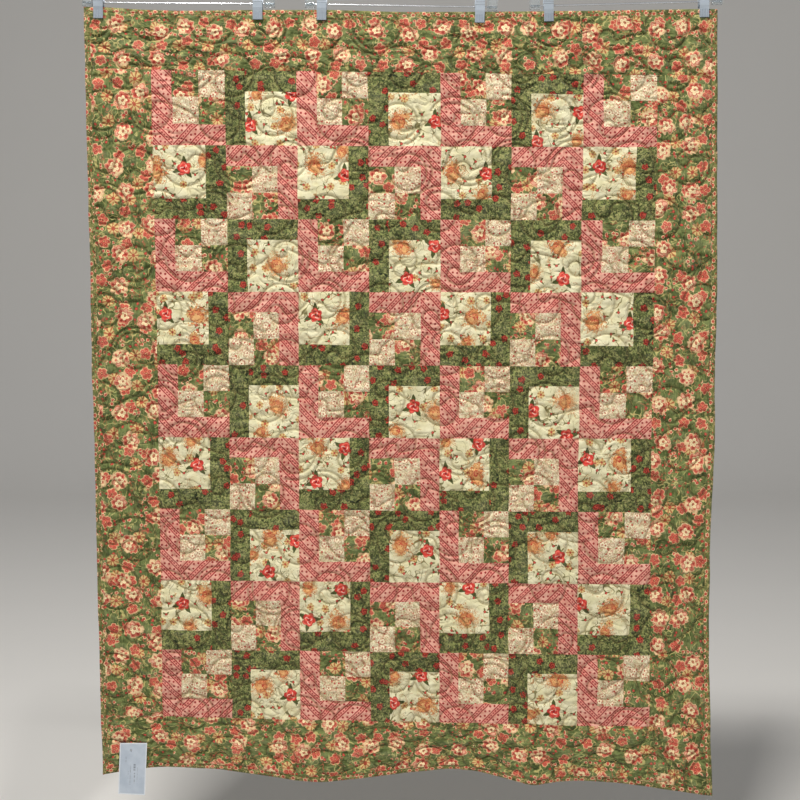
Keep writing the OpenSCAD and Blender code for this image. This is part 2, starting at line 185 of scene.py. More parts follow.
def coarse_drape():
    nu, nv = 57, 69
    us = np.linspace(-QW / 2, QW / 2, nu)
    vs = np.linspace(0, QH, nv)
    X, Y = view_grid(us, vs)
    D = depth_waves(X, vs)
    wx, wz = on_depth(X, Y, D)
    start = np.stack([wx, D, wz], -1).reshape(-1, 3)
    added = np.zeros((nv, nu))
    mesh = bpy.data.meshes.new("drape_sim")
    idx = np.arange(nu * nv).reshape(nv, nu)
    quads = np.stack([idx[:-1, :-1], idx[1:, :-1], idx[1:, 1:], idx[:-1, 1:]], -1).reshape(-1, 4)
    mesh.from_pydata(start.tolist(), [], quads.tolist())
    ob = bpy.data.objects.new("drape_sim", mesh)
    scene.collection.objects.link(ob)
    ob.shape_key_add(name="Basis")
    flat = ob.shape_key_add(name="cut")
    ztop = 1.6195
    cut = np.stack([np.tile(us * MM, nv), np.zeros(nu * nv), ztop - np.repeat(vs, nu) * MM], -1)
    flat.data.foreach_set("co", cut.ravel())
    pin = ob.vertex_groups.new(name="pin")
    for c in CLIP_PX:
        j = int(np.argmin(abs(X[0] - c)))
        pin.add([int(idx[0, j]), int(idx[1, j])], 1.0, "REPLACE")
    m = ob.modifiers.new("cloth", "CLOTH")
    s = m.settings
    s.quality = 6
    s.mass = 0.4
    s.air_damping = 3.0
    s.tension_stiffness = s.compression_stiffness = 30.0
    s.shear_stiffness = 20.0
    s.bending_stiffness = 8.0
    s.vertex_group_mass = "pin"
    s.rest_shape_key = flat
    m.collision_settings.use_collision = False
    m.collision_settings.use_self_collision = False
    m.point_cache.frame_start, m.point_cache.frame_end = 1, 30
    for f in range(1, 29):
        scene.frame_set(f)
    ev = ob.evaluated_get(bpy.context.evaluated_depsgraph_get())
    got = np.empty(nu * nv * 3)
    ev.to_mesh().vertices.foreach_get("co", got)
    ev.to_mesh_clear()
    added = (got.reshape(-1, 3)[:, 1] - start[:, 1]).reshape(nv, nu)
    bpy.data.objects.remove(ob, do_unlink=True)
    bpy.data.meshes.remove(mesh)
    scene.frame_set(1)
    added = np.nan_to_num(added)
    print("drape sim moved", float(added.min()), float(added.max()))
    for _ in range(2):
        added = blur1(blur1(added, 2, 0), 2, 1)
    added = 0.010 * np.tanh(added / 0.012)
    added *= smooth(vs, 26, 150)[:, None]
    return us, vs, added


sim_u, sim_v, SIM = coarse_drape()


def bilinear(us, vs, a, U_, V_):
    i = np.clip(np.searchsorted(us, U_) - 1, 0, len(us) - 2)
    j = np.clip(np.searchsorted(vs, V_) - 1, 0, len(vs) - 2)
    fx = np.clip((U_ - us[i]) / (us[i + 1] - us[i]), 0, 1)
    fy = np.clip((V_ - vs[j]) / (vs[j + 1] - vs[j]), 0, 1)
    return (a[j, i] * (1 - fx) + a[j, i + 1] * fx) * (1 - fy) + (a[j + 1, i] * (1 - fx) + a[j + 1, i + 1] * fx) * fy


PX, PY = view_grid(u_lines, v_lines)
# round off the kinks at the knots, and let the seams wander a little
PX = blur1(blur1(PX, 14, 0), 8, 1)
PY = blur1(blur1(PY, 8, 0), 14, 1)
PX += 0.55 * perlin(U / 48.0 + 9, V / 48.0, 3) * smooth(V, 5, 40)
PY += 0.55 * perlin(U / 52.0, V / 40.0 + 4, 4) * smooth(V, 5, 40)
MID = depth_waves(PX, v_lines) + bilinear(sim_u, sim_v, SIM, U, V)
open_zone = smooth(V, 26, 60)
MID += (0.0016 * perlin(U / 70.0, V / 34.0, 5) + 0.0009 * perlin(U / 42.0 + 7, V / 17.0, 6)) * open_zone
WX, WZ = on_depth(PX, PY, MID)
BASE = np.stack([WX, MID, WZ], -1)


def normals_of(P):
    du = np.gradient(P, axis=1)
    dv = np.gradient(P, axis=0)
    n = np.cross(du, dv)
    n /= np.maximum(np.linalg.norm(n, axis=-1, keepdims=True), 1e-12)
    return np.where(n[..., 1:2] > 0, -n, n)


NORM = normals_of(blur1(blur1(BASE, 6, 0), 6, 1))


# ------------------------------------------------------------------ quilting lines
def quilting_paths():
    """An edge-to-edge pantograph: rows of swirls, each with an echo arc over it and an S into the next."""
    def even(pts, k=11):
        line = np.concatenate(pts)
        d = np.concatenate([[0], np.cumsum(np.linalg.norm(np.diff(line, axis=0), axis=1))])
        s = np.arange(0, d[-1], 3.2)
        line = np.stack([np.interp(s, d, line[:, 0]), np.interp(s, d, line[:, 1])], -1)
        w = np.hanning(k)[1:-1]
        w /= w.sum()
        return np.stack([np.convolve(line[:, c], w, mode="same") for c in (0, 1)], -1)[6:-6]

    paths = []
    dx, dy = 98.0, 82.0
    row = 0
    y = 30.0
    while y < QH + 50:
        pts = []
        x = -QW / 2 - 70 + (row % 2) * dx / 2
        while x < QW / 2 + 100:
            cx, cy = x + rng.uniform(-10, 10), y + rng.uniform(-10, 10)
            R = rng.uniform(32, 43)
            flip = 1 if rng.rand() < 0.5 else -1
            t = np.linspace(0, 1, 34)
            th = math.pi - flip * t * rng.uniform(1.45, 1.75) * math.pi
            rr = R * (1 - 0.12 * t)
            pts.append(np.stack([cx + rr * np.cos(th), cy - rr * np.sin(th)], -1))
            # a curl inside, turning back on itself
            t = np.linspace(0.12, 1, 22)
            a0 = th[-1]
            ix, iy = cx + 0.42 * R * math.cos(a0), cy - 0.42 * R * math.sin(a0)
            th2 = a0 - flip * t * 1.5 * math.pi
            r2 = R * (0.46 - 0.16 * t)
            pts.append(np.stack([ix + r2 * np.cos(th2), iy - r2 * np.sin(th2)], -1))
            # and away
            nx = x + dx * 0.62
            t = np.linspace(0.25, 1, 8)[:, None]
            last = pts[-1][-1]
            out = np.array([nx, y + rng.uniform(-16, 16)])
            mid = (last + out) / 2 + np.array([0.0, rng.uniform(-14, 14)])
            pts.append((1 - t) ** 2 * last + 2 * t * (1 - t) * mid + t ** 2 * out)
            if rng.rand() < 0.6:
                t = np.linspace(0, 1, 26)
                start = rng.uniform(0, 2 * math.pi)
                th3 = start + t * rng.uniform(0.7, 1.1) * math.pi
                r3 = R + rng.uniform(5.5, 9.0)
                paths.append(even([np.stack([cx + r3 * np.cos(th3), cy - r3 * np.sin(th3)], -1)], 5))
            x += dx + rng.uniform(-8, 8)
        paths.append(even(pts))
        y += dy
        row += 1
    return paths


PATHS = quilting_paths()
DIST = np.full(U.shape, 40.0)
REACH = 24.0
for line in PATHS:
    for p, q in zip(line[:-1], line[1:]):
        i0, i1 = np.searchsorted(u_lines, [min(p[0], q[0]) - REACH, max(p[0], q[0]) + REACH])
        j0, j1 = np.searchsorted(v_lines, [min(p[1], q[1]) - REACH, max(p[1], q[1]) + REACH])
        if i1 <= i0 or j1 <= j0:
            continue
        uu, vv = U[j0:j1, i0:i1], V[j0:j1, i0:i1]
        d = q - p
        t = np.clip(((uu - p[0]) * d[0] + (vv - p[1]) * d[1]) / (d @ d + 1e-9), 0, 1)
        dd = np.hypot(uu - p[0] - t * d[0], vv - p[1] - t * d[1])
        np.minimum(DIST[j0:j1, i0:i1], dd, out=DIST[j0:j1, i0:i1])

# ------------------------------------------------------------------ which fabric each cell is
FABRICS = ["border", "pink", "green", "rose", "cream", "floral", "binding"]
uc, vc = (u_lines[:-1] + u_lines[1:]) / 2, (v_lines[:-1] + v_lines[1:]) / 2
UC, VC = np.meshgrid(uc, vc)
LABEL = np.zeros(UC.shape, int)
CHUNK = np.zeros(UC.shape, int)
PATCH = np.zeros(UC.shape, int)
col = np.floor((UC + QW / 2 - BORDER) / BLOCK).astype(int)
row = np.floor((VC - BORDER) / BLOCK).astype(int)
inner = (col >= 0) & (col < NC) & (row >= 0) & (row < NR)
turned = row % 2 == 1
is_pink = np.where(turned, col % 2 == 1, col % 2 == 0)
bx = UC + QW / 2 - BORDER - col * BLOCK
by = BLOCK - (VC - BORDER - row * BLOCK)  # up
lx, ly = np.where(turned, BLOCK - bx, bx), np.where(turned, BLOCK - by, by)
lab = np.zeros(UC.shape, int)
pat = np.zeros(UC.shape, int)
A = inner & is_pink
lab[A & ((lx < STRIP) | (ly < STRIP))] = 1
pat[A & (lx < STRIP)] = 0
pat[A & (lx >= STRIP) & (ly < STRIP)] = 1
four = A & (lx >= STRIP) & (ly >= STRIP)
right, upper = lx >= STRIP + SMALL, ly >= STRIP + SMALL
lab[four & (right == upper)] = 4
lab[four & (right != upper)] = 5
pat[four] = (2 + right.astype(int) + 2 * upper.astype(int))[four]
B = inner & ~is_pink
lab[B & ((lx < STRIP) | (ly >= BLOCK - STRIP))] = 2
pat[B & (lx < STRIP)] = 0
pat[B & (lx >= STRIP) & (ly >= BLOCK - STRIP)] = 1
sq = B & (lx >= STRIP) & (ly < BLOCK - STRIP)
lab[sq] = 3
pat[sq] = 2
LABEL = lab
PATCH = np.where(inner, (row * NC + col) * 8 + pat, -1)
CHUNK = np.where(inner, row * NC + col, 0)
top_b, bot_b = VC < BORDER, VC > QH - BORDER
left_b, right_b = (UC < -QW / 2 + BORDER) & ~top_b & ~bot_b, (UC > QW / 2 - BORDER) & ~top_b & ~bot_b
side_id = np.where(top_b, 0, np.where(bot_b, 1, np.where(left_b, 2, 3)))
run = np.where(top_b | bot_b, (UC + QW / 2) / 139.8, (VC - BORDER) / 127.1)
CHUNK = np.where(inner, CHUNK, 100 + side_id * 20 + np.floor(run).astype(int))
PATCH = np.where(inner, PATCH, 10000 + side_id)
edge = np.minimum(np.minimum(UC + QW / 2, QW / 2 - UC), np.minimum(VC, QH - VC))
LABEL[edge < 10.0] = 6
hug = np.where(np.minimum(UC + QW / 2, QW / 2 - UC) < np.minimum(VC, QH - VC), np.where(UC < 0, 2, 3), np.where(VC < QH / 2, 0, 1))
run_b = np.where(hug >= 2, VC / 230.0, (UC + QW / 2) / 224.0)
CHUNK[edge < 10.0] = (300 + hug * 20 + np.floor(run_b).astype(int))[edge < 10.0]
PATCH[edge < 10.0] = (20000 + hug)[edge < 10.0]

# ------------------------------------------------------------------ relief
SEAM = np.zeros(U.shape, bool)
diff_u = PATCH[:, 1:] != PATCH[:, :-1]
diff_v = PATCH[1:, :] != PATCH[:-1, :]
SEAM[1:-1, 1:-1] |= diff_u[1:, :] | diff_u[:-1, :] | diff_v[:, 1:] | diff_v[:, :-1]
seam_h = SEAM.astype(float)
seam_soft = blur1(blur1(seam_h, 1, 0), 1, 1)
seam_wide = blur1(blur1(seam_h, 4, 0), 4, 1)
E = np.minimum(np.minimum(U + QW / 2, QW / 2 - U), np.minimum(V, QH - V))

puff = 0.66 * (1 - np.exp(-((DIST / 2.7) ** 1.3))) + 0.44 * smooth(DIST, 0, 20)
# crinkles: short ridges that mostly run across, stronger in the top and bottom borders
warp_c = 5.0 * perlin(U / 26.0, V / 20.0, 21)
cr1 = perlin(U / 30.0, (V + warp_c) / 8.5, 22)
cr2 = perlin((U + warp_c) / 10.5, V / 24.0, 23)
cr3 = perlin(U / 12.0, V / 6.5, 24)
cr4 = perlin((U + warp_c) / 46.0, (V + 2 * warp_c) / 15.0, 27)
ends = 1 + 0.8 * (1 - smooth(V, 70, 160)) + 0.6 * smooth(V, QH - 150, QH - 40)
sides = smooth(abs(U), 420, 470)
fold_n = perlin((U + 2 * warp_c) / 40.0, (V + 2 * warp_c) / 13.0, 31)
fold_m = smooth(perlin(U / 38.0, V / 30.0, 32), -0.25, 0.25)
fold = np.exp(-((fold_n / 0.13) ** 2)) * fold_m
fold2 = np.exp(-((perlin((U + warp_c) / 15.0, V / 30.0, 33) / 0.12) ** 2)) * smooth(perlin(U / 25.0, V / 40.0, 34), 0.0, 0.35)
crinkle = (0.95 * cr1 * ends + 0.45 * cr2 * (1 + 0.8 * sides) + 0.50 * cr3 + 0.9 * cr4 * ends) * (0.30 + 0.70 * puff)
crinkle -= 0.85 * fold * ends * (0.5 + 0.5 * puff) + 0.45 * fold2
pucker = 0.95 * np.exp(-(((DIST - 3.6) / 2.6) ** 2)) * perlin(U / 5.2, V / 5.2, 25)
HT = 3.1 * puff + crinkle + pucker - 0.75 * seam_soft - 0.6 * np.clip(seam_wide, 0, 1)
CREASE = np.clip(fold * (0.45 + 0.35 * ends) + 0.45 * fold2, 0, 1)
T0 = 1.7
HT = HT * (1 + 0.18 * (1 - smooth(E, 95, 125)))
THICK = np.maximum(T0 + HT, 0.7)
# held flat where the clips grip and slide
grip = 1 - smooth(V, 24, 44)
THICK = THICK * (1 - grip) + np.clip(1.9 + 0.42 * HT, 1.2, 3.15) * grip
# folded binding: a plump roll, sewn down in a ditch
roll = 2.55 * np.sqrt(np.clip(1 - (1 - np.clip(E / 2.9, 0, 1)) ** 2, 0, 1)) + 0.35 * perlin(U / 11.0 + 3, V / 11.0, 26) * smooth(E, 1, 4)
roll = roll - 0.7 * smooth(E, 7.0, 10.0)
wb = smooth(E, 9.2, 13.0)
THICK = roll * (1 - wb) + THICK * wb
THICK = np.maximum(THICK, 0.0)
FRONT = BASE + NORM * (THICK * MM)[..., None]
BACK_T = np.where(E < 12, THICK, 1.9 + 0.75 * (THICK - 1.9))
BACK_T = np.minimum(BACK_T, np.where(V < 36, 3.2, 9.0))
BACK = BASE - NORM * (BACK_T * MM)[..., None]
HREL = np.clip(0.12 + 0.62 * puff + 0.20 * crinkle - 0.25 * seam_soft, 0, 1)
STITCH = np.where(E > 10, DIST, 30.0)
FN, BN = normals_of(FRONT), -normals_of(BACK)


# ------------------------------------------------------------------ print coordinates
def print_coords(cells_j, cells_i, patches):
    """Corner coordinates in millimetres in each patch's own cut of its fabric, and a random number for the patch."""
    cj = np.stack([cells_j, cells_j + 1, cells_j + 1, cells_j], -1)
    ci = np.stack([cells_i, cells_i, cells_i + 1, cells_i + 1], -1)
    x, y = u_lines[ci], -v_lines[cj]
    out = np.zeros((len(cells_j), 4, 3))
    for p in np.unique(patches):
        sel = patches == p
        r = np.random.RandomState(int(p) % 99991 + 7)
        ox, oy = r.uniform(-4000, 4000, 2)
        k = int(r.randint(0, 4))
        if p < 10000:
            kind = p % 8
            rr = p // 8 // NC
            cc = p // 8 % NC
            pink_block = (cc % 2 == 1) if rr % 2 else (cc % 2 == 0)
            if pink_block and kind < 2:
                k = int(kind)  # stripes: a quarter turn on the short strips
            elif not pink_block and kind == 2:
                k = 0
                cx = -QW / 2 + BORDER + cc * BLOCK + (BLOCK - (BLOCK - STRIP) / 2 if rr % 2 == 0 else (BLOCK - STRIP) / 2)
                cy = -(BORDER + rr * BLOCK) - (BLOCK - (BLOCK - STRIP) / 2 if rr % 2 == 0 else (BLOCK - STRIP) / 2)
        elif p < 20000:
            k = 0 if p < 10002 else 1
        else:
            k = 0 if p < 20002 else 1
        xx, yy = x[sel], y[sel]
        if k == 1:
            xx, yy = yy, -xx
        elif k == 2:
            xx, yy = -xx, -yy
        elif k == 3:
            xx, yy = -yy, xx
        out[sel, :, 0] = xx + ox
        out[sel, :, 1] = yy + oy
        out[sel, :, 2] = r.rand()
    return out


# Big roses and paisleys of the 31 rose squares, as offsets from the square's middle, in mm
ROSES = {
    (0, 1): [(-37, -11), (37, 41)], (0, 3): [(36, -3), None], (0, 5): [(-37, -38), (39, 14)], (1, 0): [(8, 7), None],
    (1, 2): [(39, -5), None], (1, 4): [(36, -1), None], (1, 6): [(-17, 12), None], (2, 1): [None, None],
    (2, 3): [(-14, -22), (35, 35)], (2, 5): [(13, -22), None], (3, 0): [(-29, 7), None], (3, 2): [(-15, 6), None],
    (3, 4): [(-41, 8), None], (3, 6): [(41, -7), None], (4, 1): [None, None], (4, 3): [(-2, 10), None],
    (4, 5): [(-39, 3), (23, -41)], (5, 0): [(23, -3), None], (5, 2): [(-15, -32), (37, 27)], (5, 4): [(-34, -17), (26, 36)],
    (5, 6): [(-30, 10), None], (6, 1): [(-11, -29), (40, 26)], (6, 3): [(24, 11), None], (6, 5): [(11, 2), None],
    (7, 0): [(-6, 3), None], (7, 2): [(30, 31), (-29, -24)], (7, 4): [(9, 37), None], (7, 6): [(-40, 9), None],
    (8, 1): [(28, -1), None], (8, 3): [(12, 39), (-40, -11)], (8, 5): [(3, -21), None],
}
PAISLEYS = {
    (0, 1): [(27, -10), (-26, 40)], (0, 3): [(-29, -5), None], (0, 5): [(-27, 16), (34, -36)], (1, 0): [(-42, 0), (41, 18)],
    (1, 2): [(-16, 10), (33, 34)], (1, 4): [(-25, -2), (28, -36)], (1, 6): [(34, 9), (32, -38)], (2, 1): [(7, -1), None],
    (2, 3): [(-21, 31), (38, -30)], (2, 5): [(4, 32), (-40, -12)], (3, 0): [(26, 2), (21, -40)], (3, 2): [(33, 2), None],
    (3, 4): [(11, 2), (1, -40)], (3, 6): [(-25, -7), None], (4, 1): [(5, 8), (-24, -36)], (4, 3): [(38, -1), (-34, -33)],
    (4, 5): [(19, 19), None], (5, 0): [(-28, 6), (12, 38)], (5, 2): [(-12, 28), (38, -37)], (5, 4): [(22, -22), (-35, 38)],
    (5, 6): [(26, 3), (15, -40)], (6, 1): [(-8, 30), (-40, 0)], (6, 3): [(-26, 19), None], (6, 5): [(-38, 19), (-5, 40)],
    (7, 0): [(38, 15), (5, -38)], (7, 2): [(24, -29), (-31, 32)], (7, 4): [(3, -19), (-28, 36)], (7, 6): [(11, 1), (2, -40)],
    (8, 1): [(-27, 15), (15, 40)], (8, 3): [(17, -16), (-36, 37)], (8, 5): [(7, 34), (-39, -29)],
}


def square_middle(rr, cc):
    half = (BLOCK - STRIP) / 2
    o = BLOCK - half if rr % 2 == 0 else half
    return -QW / 2 + BORDER + cc * BLOCK + o, -(BORDER + rr * BLOCK) - o


# ------------------------------------------------------------------ node graphs
def lin(c):
    c = [x / 255.0 for x in c]
    return tuple(x / 12.92 if x <= 0.04045 else ((x + 0.055) / 1.055) ** 2.4 for x in c) + (1.0,)


class G:
    """A short way to write node maths."""

    def __init__(self, name):
        self.mat = bpy.data.materials.new(name)
        self.mat.use_nodes = True
        self.nt = self.mat.node_tree
        self.nt.nodes.clear()
        self.out = self.nt.nodes.new("ShaderNodeOutputMaterial")
        self.b = self.nt.nodes.new("ShaderNodeBsdfPrincipled")
        self.nt.links.new(self.b.outputs[0], self.out.inputs[0])

    def set(self, sock, v):
        if isinstance(v, bpy.types.NodeSocket):
            self.nt.links.new(v, sock)
        else:
            sock.default_value = v

    def m(self, op, a, b=None, c=None, clamp=False):
        n = self.nt.nodes.new("ShaderNodeMath")
        n.operation = op
        n.use_clamp = clamp
        for s, v in zip(n.inputs, (a, b, c)):
            if v is not None:
                self.set(s, v)
        return n.outputs[0]

    def add(self, a, b): return self.m("ADD", a, b)
    def sub(self, a, b): return self.m("SUBTRACT", a, b)
    def mul(self, a, b): return self.m("MULTIPLY", a, b)
    def div(self, a, b): return self.m("DIVIDE", a, b)
    def abs(self, a): return self.m("ABSOLUTE", a)
    def mn(self, a, b): return self.m("MINIMUM", a, b)
    def mx(self, a, b): return self.m("MAXIMUM", a, b)
    def gt(self, a, b): return self.m("GREATER_THAN", a, b)
    def inv(self, a): return self.m("SUBTRACT", 1.0, a)

    def wrap(self, a, per):
        """a folded into -per/2..per/2"""
        return self.sub(self.m("FLOORED_MODULO", self.add(a, per / 2), per), per / 2)

    def st(self, x, e0, e1):
        """0 below e0, 1 above e1; reversed where e0 > e1"""
        n = self.nt.nodes.new("ShaderNodeMapRange")
        n.interpolation_type = "SMOOTHSTEP"
        self.set(n.inputs[0], x)
        flip = e0 > e1
        n.inputs[1].default_value, n.inputs[2].default_value = (e1, e0) if flip else (e0, e1)
        n.inputs[3].default_value, n.inputs[4].default_value = (1.0, 0.0) if flip else (0.0, 1.0)
        return n.outputs[0]

    def attr(self, name):
        n = self.nt.nodes.new("ShaderNodeAttribute")
        n.attribute_name = name
        return n.outputs["Vector"], n.outputs["Fac"]

    def sep(self, v):
        n = self.nt.nodes.new("ShaderNodeSeparateXYZ")
        self.set(n.inputs[0], v)
        return n.outputs[0], n.outputs[1], n.outputs[2]

    def comb(self, x, y, z=0.0):
        n = self.nt.nodes.new("ShaderNodeCombineXYZ")
        for s, v in zip(n.inputs, (x, y, z)):
            self.set(s, v)
        return n.outputs[0]

    def vec(self, op, a, b=None, scale=None):
        n = self.nt.nodes.new("ShaderNodeVectorMath")
        n.operation = op
        self.set(n.inputs[0], a)
        if b is not None:
            self.set(n.inputs[1], b)
        if scale is not None:
            self.set(n.inputs[3], scale)
        return n.outputs[1] if op in ("LENGTH", "DOT_PRODUCT", "DISTANCE") else n.outputs[0]

    def noise(self, v, scale, detail=2.0, rough=0.5, dist=0.0, color=False):
        n = self.nt.nodes.new("ShaderNodeTexNoise")
        n.inputs["Scale"].default_value = scale
        n.inputs["Detail"].default_value = detail
        n.inputs["Roughness"].default_value = rough
        n.inputs["Distortion"].default_value = dist
        self.set(n.inputs["Vector"], v)
        return n.outputs[1] if color else n.outputs[0]

    def vor(self, v, cell, rand=1.0, dims="2D"):
        n = self.nt.nodes.new("ShaderNodeTexVoronoi")
        n.voronoi_dimensions = dims
        n.inputs["Scale"].default_value = 1.0 / cell
        n.inputs["Randomness"].default_value = rand
        self.set(n.inputs["Vector"], v)
        return n.outputs["Distance"], n.outputs["Color"], n.outputs["Position"]

    def mix(self, f, a, b, mode="MIX"):
        n = self.nt.nodes.new("ShaderNodeMix")
        n.data_type = "RGBA"
        n.blend_type = mode
        self.set(n.inputs[0], f)
        self.set(n.inputs[6], a if isinstance(a, bpy.types.NodeSocket) else lin(a))
        self.set(n.inputs[7], b if isinstance(b, bpy.types.NodeSocket) else lin(b))
        return n.outputs[2]

    def rgb(self, c):
        n = self.nt.nodes.new("ShaderNodeRGB")
        n.outputs[0].default_value = lin(c)
        return n.outputs[0]

    def bump(self, h, strength, dist, normal=None):
        n = self.nt.nodes.new("ShaderNodeBump")
        n.inputs["Strength"].default_value = strength
        n.inputs["Distance"].default_value = dist
        self.set(n.inputs["Height"], h)
        if normal is not None:
            self.set(n.inputs["Normal"], normal)
        return n.outputs[0]

    # --- motifs, all in millimetres ---
    def wobble(self, P, cell, amount, seed=0.0):
        c = self.noise(self.vec("ADD", P, (seed, seed * 1.7, 0)), 1.0 / cell, 1.0, 0.5, color=True)
        return self.vec("ADD", P, self.vec("SCALE", self.vec("SUBTRACT", c, (0.5, 0.5, 0.5)), scale=amount))

    def motif(self, P, cell, rand, seed):
        """Local polar coordinates in a scatter of cells, and three random numbers for the cell."""
        Q = self.vec("ADD", P, (seed, seed * 0.73, 0.0))
        _, colr, pos = self.vor(Q, cell, rand)
        loc = self.vec("SUBTRACT", Q, pos)
        x, y, _ = self.sep(loc)
        a, b, c = self.sep(colr)
        return x, y, a, b, c

    def polar(self, x, y, turn=0.0):
        r = self.m("SQRT", self.add(self.mul(x, x), self.mul(y, y)))
        th = self.add(self.m("ARCTAN2", y, x), turn)
        return r, th

    def petals(self, r, th, R, n, depth, wob=None):
        """r over the outline of an n-petalled flower of radius R"""
        lobe = self.abs(self.m("COSINE", self.mul(th, n / 2.0)))
        e = self.add(R * (1 - depth), self.mul(lobe, R * depth))
        if wob is not None:
            e = self.mul(e, self.add(0.86, self.mul(wob, 0.28)))
        return self.div(r, e)

    def leaf(self, x, y, ang, L, W):
        """1 inside a pointed leaf that starts at the origin and runs L along ang"""
        ca, sa = self.m("COSINE", ang), self.m("SINE", ang)
        a = self.add(self.mul(x, ca), self.mul(y, sa))
        b = self.sub(self.mul(y, ca), self.mul(x, sa))
        t = self.div(a, L)
        prof = self.mul(self.mul(t, self.inv(t)), 4.0 * W)
        inside = self.st(self.sub(prof, self.abs(b)), -0.15, 0.35)
        return self.mul(inside, self.mul(self.gt(t, 0.0), self.gt(1.0, t)))

    def cloth_finish(self, col, P, rough=0.86, sheen=0.25, weave=0.42, fade=1.0, line=0.40):
        """Yarn, small changes of tone, painted highlight on the crests and beside the quilting grooves, painted shade
        in the grooves, hollows and creases, and the quilting thread.
        """
        x, y, rnd = self.sep(P)
        _, h = self.attr("relief")
        _, qd = self.attr("stitch")
        _, cre = self.attr("crease")
        n1 = self.noise(P, 1 / 46.0, 3.0, 0.55)
        n2 = self.noise(P, 1 / 5.0, 3.0, 0.6)
        yarn_x = self.noise(self.comb(self.mul(x, 0.18), self.mul(y, 2.4)), 1.0, 1.0, 0.5)
        yarn_y = self.noise(self.comb(self.mul(x, 2.4), self.mul(y, 0.18)), 1.0, 1.0, 0.5)
        tone = self.add(self.add(self.mul(n1, 0.20), self.mul(n2, 0.20)), self.mul(self.add(yarn_x, yarn_y), 0.12))
        tone = self.add(self.sub(tone, 0.32), self.mul(rnd, 0.07 * fade))
        qd2 = self.add(qd, self.mul(self.sub(n2, 0.5), 0.9))
        # painted shade: darker along the quilting grooves, in the low hollows of the relief and in the creases, with a
        # warmer tint there
        groove = self.st(qd2, 2.2, 0.3)
        ditch_shade = self.mx(self.mul(groove, line), self.mx(self.mul(self.st(h, 0.45, 0.05), 0.25), self.mul(self.st(cre, 0.25, 0.95), 0.34)))
        v = self.sub(self.add(1.0, tone), ditch_shade)
        warm = self.sub(v, self.mul(ditch_shade, 0.12))
        c = self.mix(1.0, col, self.comb(v, warm, self.sub(warm, self.mul(ditch_shade, 0.14))), "MULTIPLY")
        # painted highlight: lighter on the puffed crests, most of all on the lips beside the quilting grooves
        lip_highlight = self.mul(self.st(qd2, 2.6, 3.8), self.st(qd2, 7.0, 4.6))
        c = self.mix(self.mul(self.mul(self.st(h, 0.55, 1.0), self.add(0.35, lip_highlight)), 0.14), c, (240, 230, 200))
        dash = self.st(self.m("SINE", self.add(self.mul(x, 1.9), self.mul(y, 2.3))), -0.7, 0.2)
        thread = self.mul(self.st(qd, 0.85, 0.35), dash)
        c = self.mix(self.mul(thread, 0.5), c, (168, 168, 112))
        self.set(self.b.inputs["Base Color"], c)
        w = self.mul(self.add(self.m("SINE", self.mul(x, 2 * math.pi / weave)), self.m("SINE", self.mul(y, 2 * math.pi / weave))), 0.25)
        fuzz = self.noise(P, 1 / 0.9, 2.0, 0.6)
        crease = self.noise(self.comb(self.mul(x, 0.7), self.mul(y, 1.5)), 1 / 4.2, 3.0, 0.55)
        hgt = self.add(self.add(self.mul(w, 0.05), self.mul(fuzz, 0.10)), self.mul(crease, 0.60))
        hgt = self.add(hgt, self.sub(self.mul(self.st(qd2, 0.0, 4.2), 1.3), self.mul(cre, 0.9)))
        self.set(self.b.inputs["Normal"], self.bump(hgt, 0.75, 0.0011))
        rr = self.add(rough - 0.05, self.add(self.mul(n2, 0.08), self.mul(self.st(h, 1.0, 0.2), 0.04)))
        self.set(self.b.inputs["Roughness"], rr)
        self.b.inputs["Sheen Weight"].default_value = sheen
        self.b.inputs["Sheen Roughness"].default_value = 0.5
        self.b.inputs["Sheen Tint"].default_value = (1.0, 0.93, 0.82, 1.0)
        self.b.inputs["Specular IOR Level"].default_value = 0.22
        return self.mat


